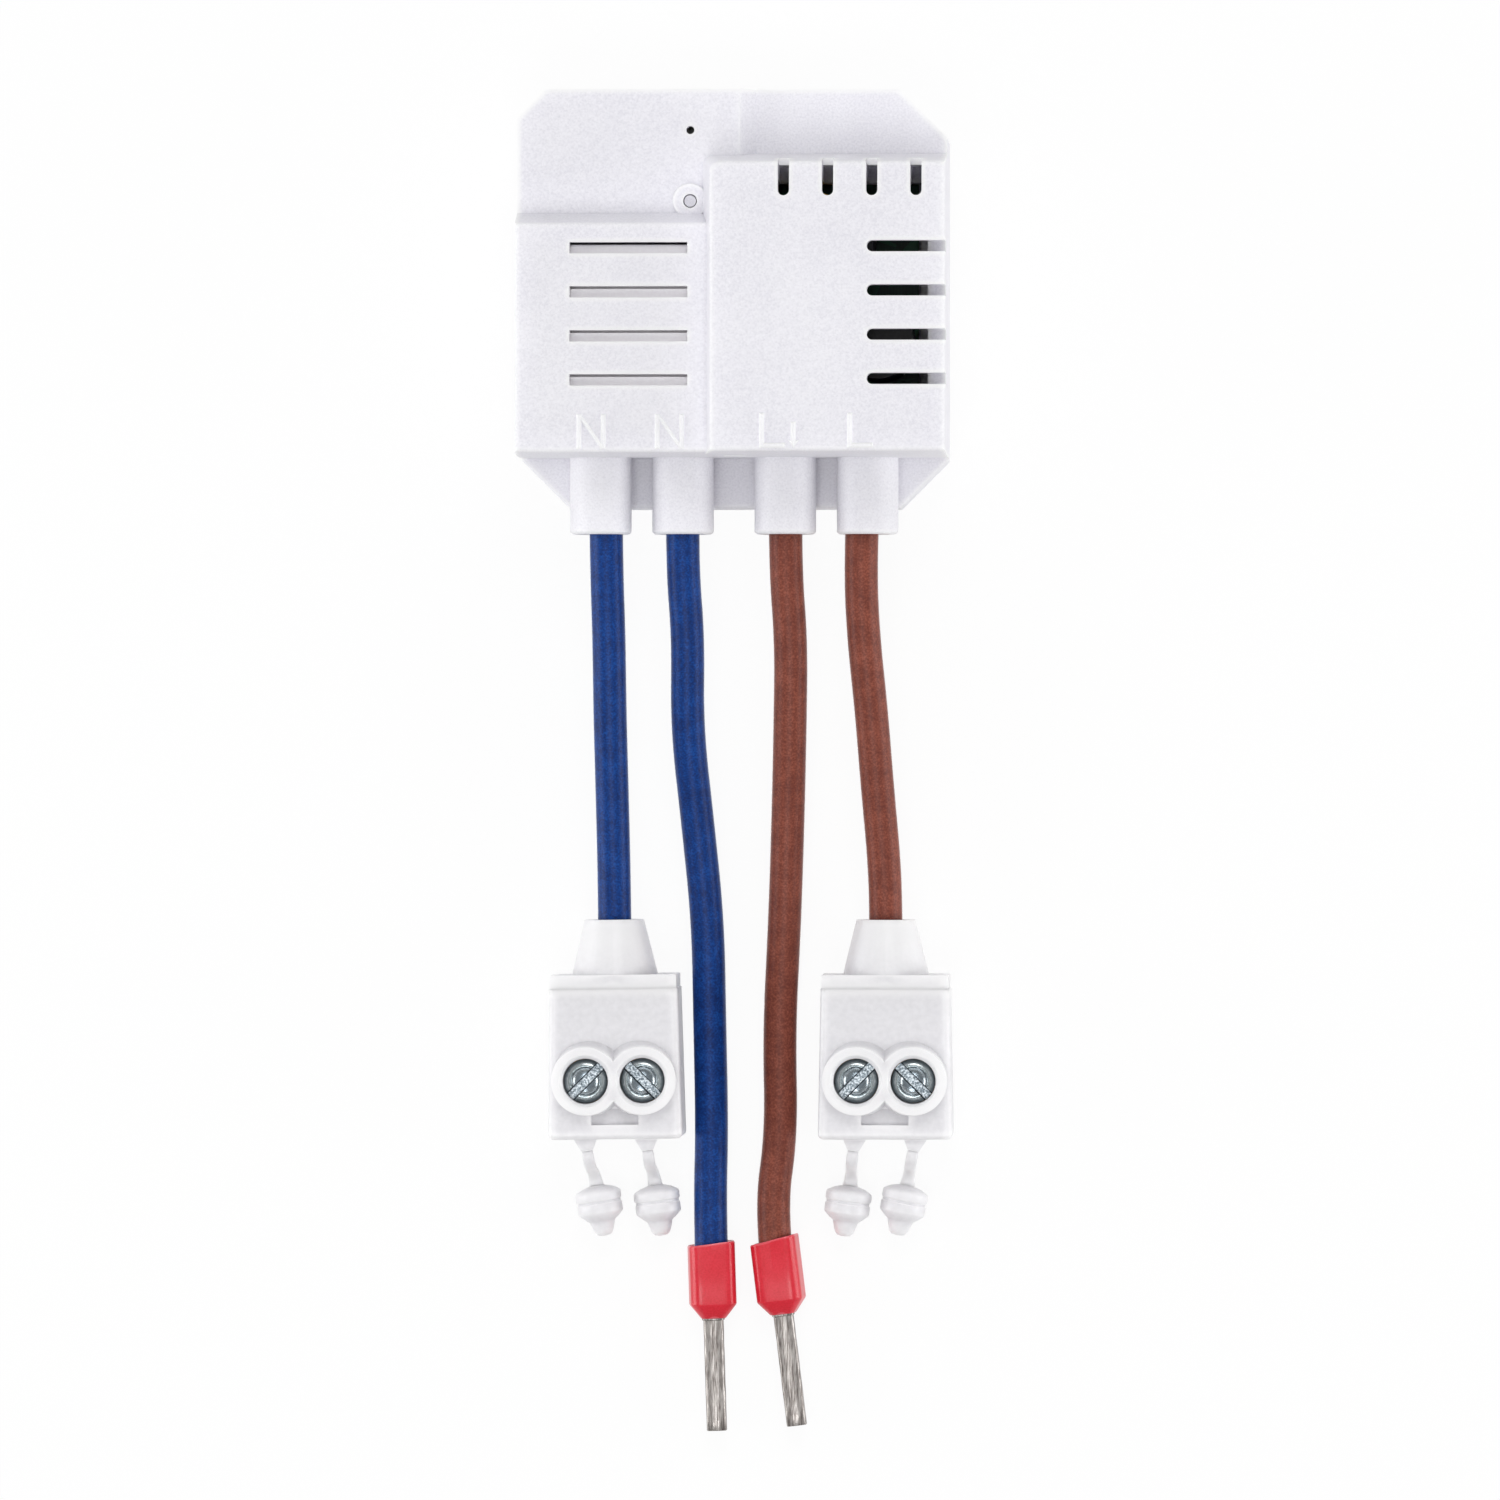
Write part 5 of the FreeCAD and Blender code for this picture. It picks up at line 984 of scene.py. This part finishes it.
# The collar's outside and inside: places along it, with a share of the facets' size or a radius.
TAPER_START = COLLAR_LENGTH - COLLAR_TAPER
COLLAR_OUTSIDE = [
    (0.06, 0.93), (0.0, 0.97), (0.12, 1.0), (3.0, 1.0), (TAPER_START - 0.08, 1.0),
    (TAPER_START + 0.06, 0.97), (COLLAR_LENGTH - 0.06, 0.545), (COLLAR_LENGTH, 0.51),
]
COLLAR_INSIDE = [
    (COLLAR_LENGTH, PIN_SPACE), (COLLAR_LENGTH - 2.2, PIN_SPACE), (2.9, LEAD_SPACE),
    (0.35, LEAD_SPACE), (0.12, LEAD_SPACE + 0.06),
]
# Half of the pin's section, and its sizes along: thin in the collar, a small bead, then the tube.
PIN_HALF = [
    (0.9, 0.0), (0.9, 0.34), (0.84, 0.58), (0.7, 0.7), (0.56, 0.71), (0.42, 0.76), (0.2, 0.8),
    (0.0, 0.79), (-0.2, 0.8), (-0.42, 0.76), (-0.56, 0.71), (-0.7, 0.7), (-0.84, 0.58), (-0.9, 0.34),
]
PIN_SIZES = [
    (COLLAR_LENGTH - PIN_ROOT, 0.78), (COLLAR_LENGTH - 0.05, 0.78), (COLLAR_LENGTH + 0.02, 1.12),
    (COLLAR_LENGTH + 0.14, 1.12), (COLLAR_LENGTH + 0.2, 1.0),
    *(
        (COLLAR_LENGTH + PIN_LENGTH * step / PIN_WAVES, 1 + 0.012 * math.sin(step * 2.3))
        for step in range(1, PIN_WAVES)
    ),
    (COLLAR_LENGTH + PIN_LENGTH - 0.06, 1.0), (COLLAR_LENGTH + PIN_LENGTH, 0.94),
]


def facet_radius(angle):
    """Distance from the collar's axis to its outline, with slightly rounded corners."""
    reach = sum(
        max(math.cos(angle - math.radians(turn)) / distance, 0) ** FACET_SHARPNESS
        for turn, distance in FACETS
    )
    return reach ** (-1 / FACET_SHARPNESS)


# Red polypropylene: satin, finely mottled by the flow in the mould, with a painted highlight that
# lightens its edges.
collar_red, tree, shader, at = start_material(
    "red_polypropylene",
    {"Roughness": 0.28, "IOR": 1.49, "Subsurface Weight": 0.1, "Subsurface Scale": 0.3 * MM},
)
grain = add_node(
    tree, "ShaderNodeTexNoise", {"Vector": at, "Scale": 1 / COLLAR_GRAIN, "Detail": 3.0}
)
flow = add_node(
    tree, "ShaderNodeTexNoise", {"Vector": at, "Scale": 1 / COLLAR_FLOW, "Detail": 2.0}
)
blend = add_node(
    tree,
    "ShaderNodeMath",
    {0: flow.outputs[0], 1: 0.5, 2: grain.outputs[0]},
    operation="MULTIPLY_ADD",
)
tone = add_node(
    tree,
    "ShaderNodeValToRGB",
    {0: blend.outputs[0]},
    stops=[(0.45, "#cd1727"), (0.75, "#d92335"), (1.0, "#df2d3f")],
)
# Painted highlight: the red turns lighter close to the collar's convex edges.
rim_highlighted = painted_rim_highlight(tree, tone.outputs[0], COLLAR_RIM_HIGHLIGHT, 0.7, "#f0707b")
tree.links.new(rim_highlighted, shader.inputs["Base Color"])
relief = add_node(
    tree, "ShaderNodeBump", {"Height": grain.outputs[0], "Strength": 0.4, "Distance": 0.015 * MM}
)
tree.links.new(relief.outputs[0], shader.inputs["Normal"])

# Tinned copper: dull warm silver, darker in draw marks about 0.13 mm wide that run along the pin.
MARK_WIDTH = 0.13 * MM
MARK_LENGTH = 1.6 * MM
tinned, tree, shader, at = start_material("tinned_copper", {"Metallic": 1.0, "Roughness": 0.36})
stretched = add_node(
    tree,
    "ShaderNodeMapping",
    {0: at, "Scale": (1 / MARK_WIDTH, 1 / MARK_LENGTH, 1 / MARK_WIDTH)},
)
streaks = add_node(
    tree,
    "ShaderNodeTexNoise",
    {"Vector": stretched.outputs[0], "Scale": 1.0, "Detail": 4.0, "Roughness": 0.6},
)
tone = add_node(
    tree,
    "ShaderNodeValToRGB",
    {0: streaks.outputs[0]},
    stops=[(0.34, "#6c6562"), (0.48, "#9c9692"), (0.62, "#c2bdb9")],
)
tree.links.new(tone.outputs[0], shader.inputs["Base Color"])
dull = add_node(
    tree,
    "ShaderNodeMapRange",
    {0: streaks.outputs[0], "From Min": 0.3, "From Max": 0.7, "To Min": 0.5, "To Max": 0.3},
)
tree.links.new(dull.outputs[0], shader.inputs["Roughness"])
relief = add_node(
    tree, "ShaderNodeBump", {"Height": streaks.outputs[0], "Strength": 0.6, "Distance": 0.03 * MM}
)
tree.links.new(relief.outputs[0], shader.inputs["Normal"])

turns = round_steps(COLLAR_POINTS)
collar_shells = [
    (along, [facet_radius(a) * size for a in turns]) for along, size in COLLAR_OUTSIDE
] + [(along, [bore] * COLLAR_POINTS) for along, bore in COLLAR_INSIDE]
for name, made in FERRULES.items():
    angle, roll = math.radians(made["lean"]), math.radians(made["roll"])
    ahead = Vector((math.sin(angle), -math.cos(angle), 0))
    flat = Vector((math.cos(angle), math.sin(angle), 0))
    across = flat * math.cos(roll) + UP * math.sin(roll)
    rise = UP * math.cos(roll) - flat * math.sin(roll)
    mouth = Vector(made["mouth"])
    rings = []
    for along, radii in collar_shells:
        slant = made["slant"] * max(0, 1 - along / SLANT_REACH)
        ring = []
        for a, radius in zip(turns, radii):
            offset = across * math.cos(a) * radius + rise * math.sin(a) * radius
            ring.append((mouth + ahead * (along - slant * math.cos(a)) + offset) * MM)
        rings.append(ring)
    add_piece(
        f"crimped_collar_{name}",
        skin(rings, loop=True),
        collar_red,
        "insert",
        [f"ferrule_collar_{name}"],
        sharp=25,
    )
    rings = [
        [
            (mouth + ahead * along + flat * x * size + UP * z * size) * MM
            for x, z in PIN_HALF + [(-x, -z) for x, z in PIN_HALF]
        ]
        for along, size in PIN_SIZES
    ]
    add_piece(
        f"crimped_pin_{name}",
        skin(rings),
        tinned,
        "insert",
        [f"ferrule_pin_{name}"],
        sharp=50,
    )

# Leads: fine stranded copper in soft PVC, 3 mm thick, blue for neutral and brown for live, which
# leave the housing through its four sleeves and lie down on the table.
LEAD_DIAMETER = 3.0
ROUTES = {
    "neutral_short": [
        (-11.45, -18.25, 8.5), (-11.42, -22.8, 8.4), (-11.24, -28.8, 7.75), (-11.21, -35.8, 6.65),
        (-11.08, -42.6, 5.5), (-10.96, -49.2, 4.65), (-10.9, -54.6, 4.33), (-10.85, -59.75, 4.3),
    ],
    "neutral_long": [
        (-4.6, -18.25, 8.5), (-4.62, -22.9, 8.42), (-4.15, -29.0, 7.7), (-4.35, -37.0, 5.85),
        (-3.45, -45.8, 3.6), (-2.62, -54.5, 2.35), (-2.48, -63.5, 1.85), (-2.28, -73.0, 1.8),
        (-2.457, -80.0, 2.1), (-2.26, -86.12, 2.1),
    ],
    "load_long": [
        (4.6, -18.25, 8.5), (4.58, -22.9, 8.4), (5.06, -29.4, 7.6), (4.88, -37.4, 5.7),
        (4.62, -45.5, 3.6), (4.28, -54.5, 2.3), (3.76, -64.4, 1.85), (3.98, -73.4, 1.85),
        (3.0, -80.3, 2.1), (3.67, -85.74, 2.1),
    ],
    "line_short": [
        (11.45, -18.25, 8.5), (11.28, -22.8, 8.42), (11.5, -28.6, 7.8), (12.2, -35.5, 6.6),
        (12.72, -42.5, 5.5), (13.32, -49.2, 4.65), (13.45, -54.4, 4.33), (13.45, -59.75, 4.3),
    ],
}
# Each colour of insulation: its sheen, and its shades from the pits of its grain to the peaks.
INSULATION = {
    "blue": ((0.75, 0.85, 1.0, 1.0), [(0.36, "#01245e"), (0.5, "#023378"), (0.64, "#084695")]),
    "brown": ((1.0, 0.85, 0.8, 1.0), [(0.36, "#683329"), (0.5, "#7c4032"), (0.64, "#93503f")]),
}
LEAD_GRAIN = 0.18 * MM
LEAD_CLOUD = 1.6 * MM
LEAD_GRAIN_SHARE = 0.65

# Soft PVC: extruded, satin, with a fine grain and a soft bloom that lightens it at a low angle.
insulation = {}
for colour, (bloom, stops) in INSULATION.items():
    material, tree, shader, at = start_material(
        f"{colour}_soft_pvc",
        {
            "Roughness": 0.42,
            "IOR": 1.53,
            "Specular IOR Level": 0.2,
            "Sheen Weight": 1.0,
            "Sheen Roughness": 0.2,
            "Sheen Tint": bloom,
        },
    )
    grain = add_node(
        tree, "ShaderNodeTexNoise", {"Vector": at, "Scale": 1 / LEAD_GRAIN, "Detail": 3.0}
    )
    cloud = add_node(
        tree, "ShaderNodeTexNoise", {"Vector": at, "Scale": 1 / LEAD_CLOUD, "Detail": 2.0}
    )
    blend = add_node(
        tree,
        "ShaderNodeMath",
        {0: cloud.outputs[0], 1: 1 - LEAD_GRAIN_SHARE},
        operation="MULTIPLY",
    )
    blend = add_node(
        tree,
        "ShaderNodeMath",
        {0: grain.outputs[0], 1: LEAD_GRAIN_SHARE, 2: blend.outputs[0]},
        operation="MULTIPLY_ADD",
    )
    tone = add_node(tree, "ShaderNodeValToRGB", {0: blend.outputs[0]}, stops=stops)
    tree.links.new(tone.outputs[0], shader.inputs["Base Color"])
    relief = add_node(
        tree,
        "ShaderNodeBump",
        {"Height": grain.outputs[0], "Strength": 0.5, "Distance": 0.015 * MM},
    )
    tree.links.new(relief.outputs[0], shader.inputs["Normal"])
    insulation[colour] = material

for name, route in ROUTES.items():
    curve = bpy.data.curves.new(f"lead_{name}_route", "CURVE")
    curve.dimensions = "3D"
    curve.resolution_u = 12
    curve.bevel_depth = LEAD_DIAMETER / 2 * MM
    curve.bevel_resolution = 7
    curve.use_fill_caps = True
    spline = curve.splines.new("NURBS")
    spline.points.add(len(route) - 1)
    for point, spot in zip(spline.points, route):
        point.co = (*(v * MM for v in spot), 1)
    spline.order_u = 3
    spline.use_endpoint_u = True
    colour = "blue" if name.startswith("neutral") else "brown"
    curve.materials.append(insulation[colour])
    lead = bpy.data.objects.new(f"pvc_lead_{name}", curve)
    scene.collection.objects.link(lead)
    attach(lead, "insert")
    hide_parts(f"lead_{name}")
    finish_nodes(insulation[colour], [f"lead_end_{name}"])
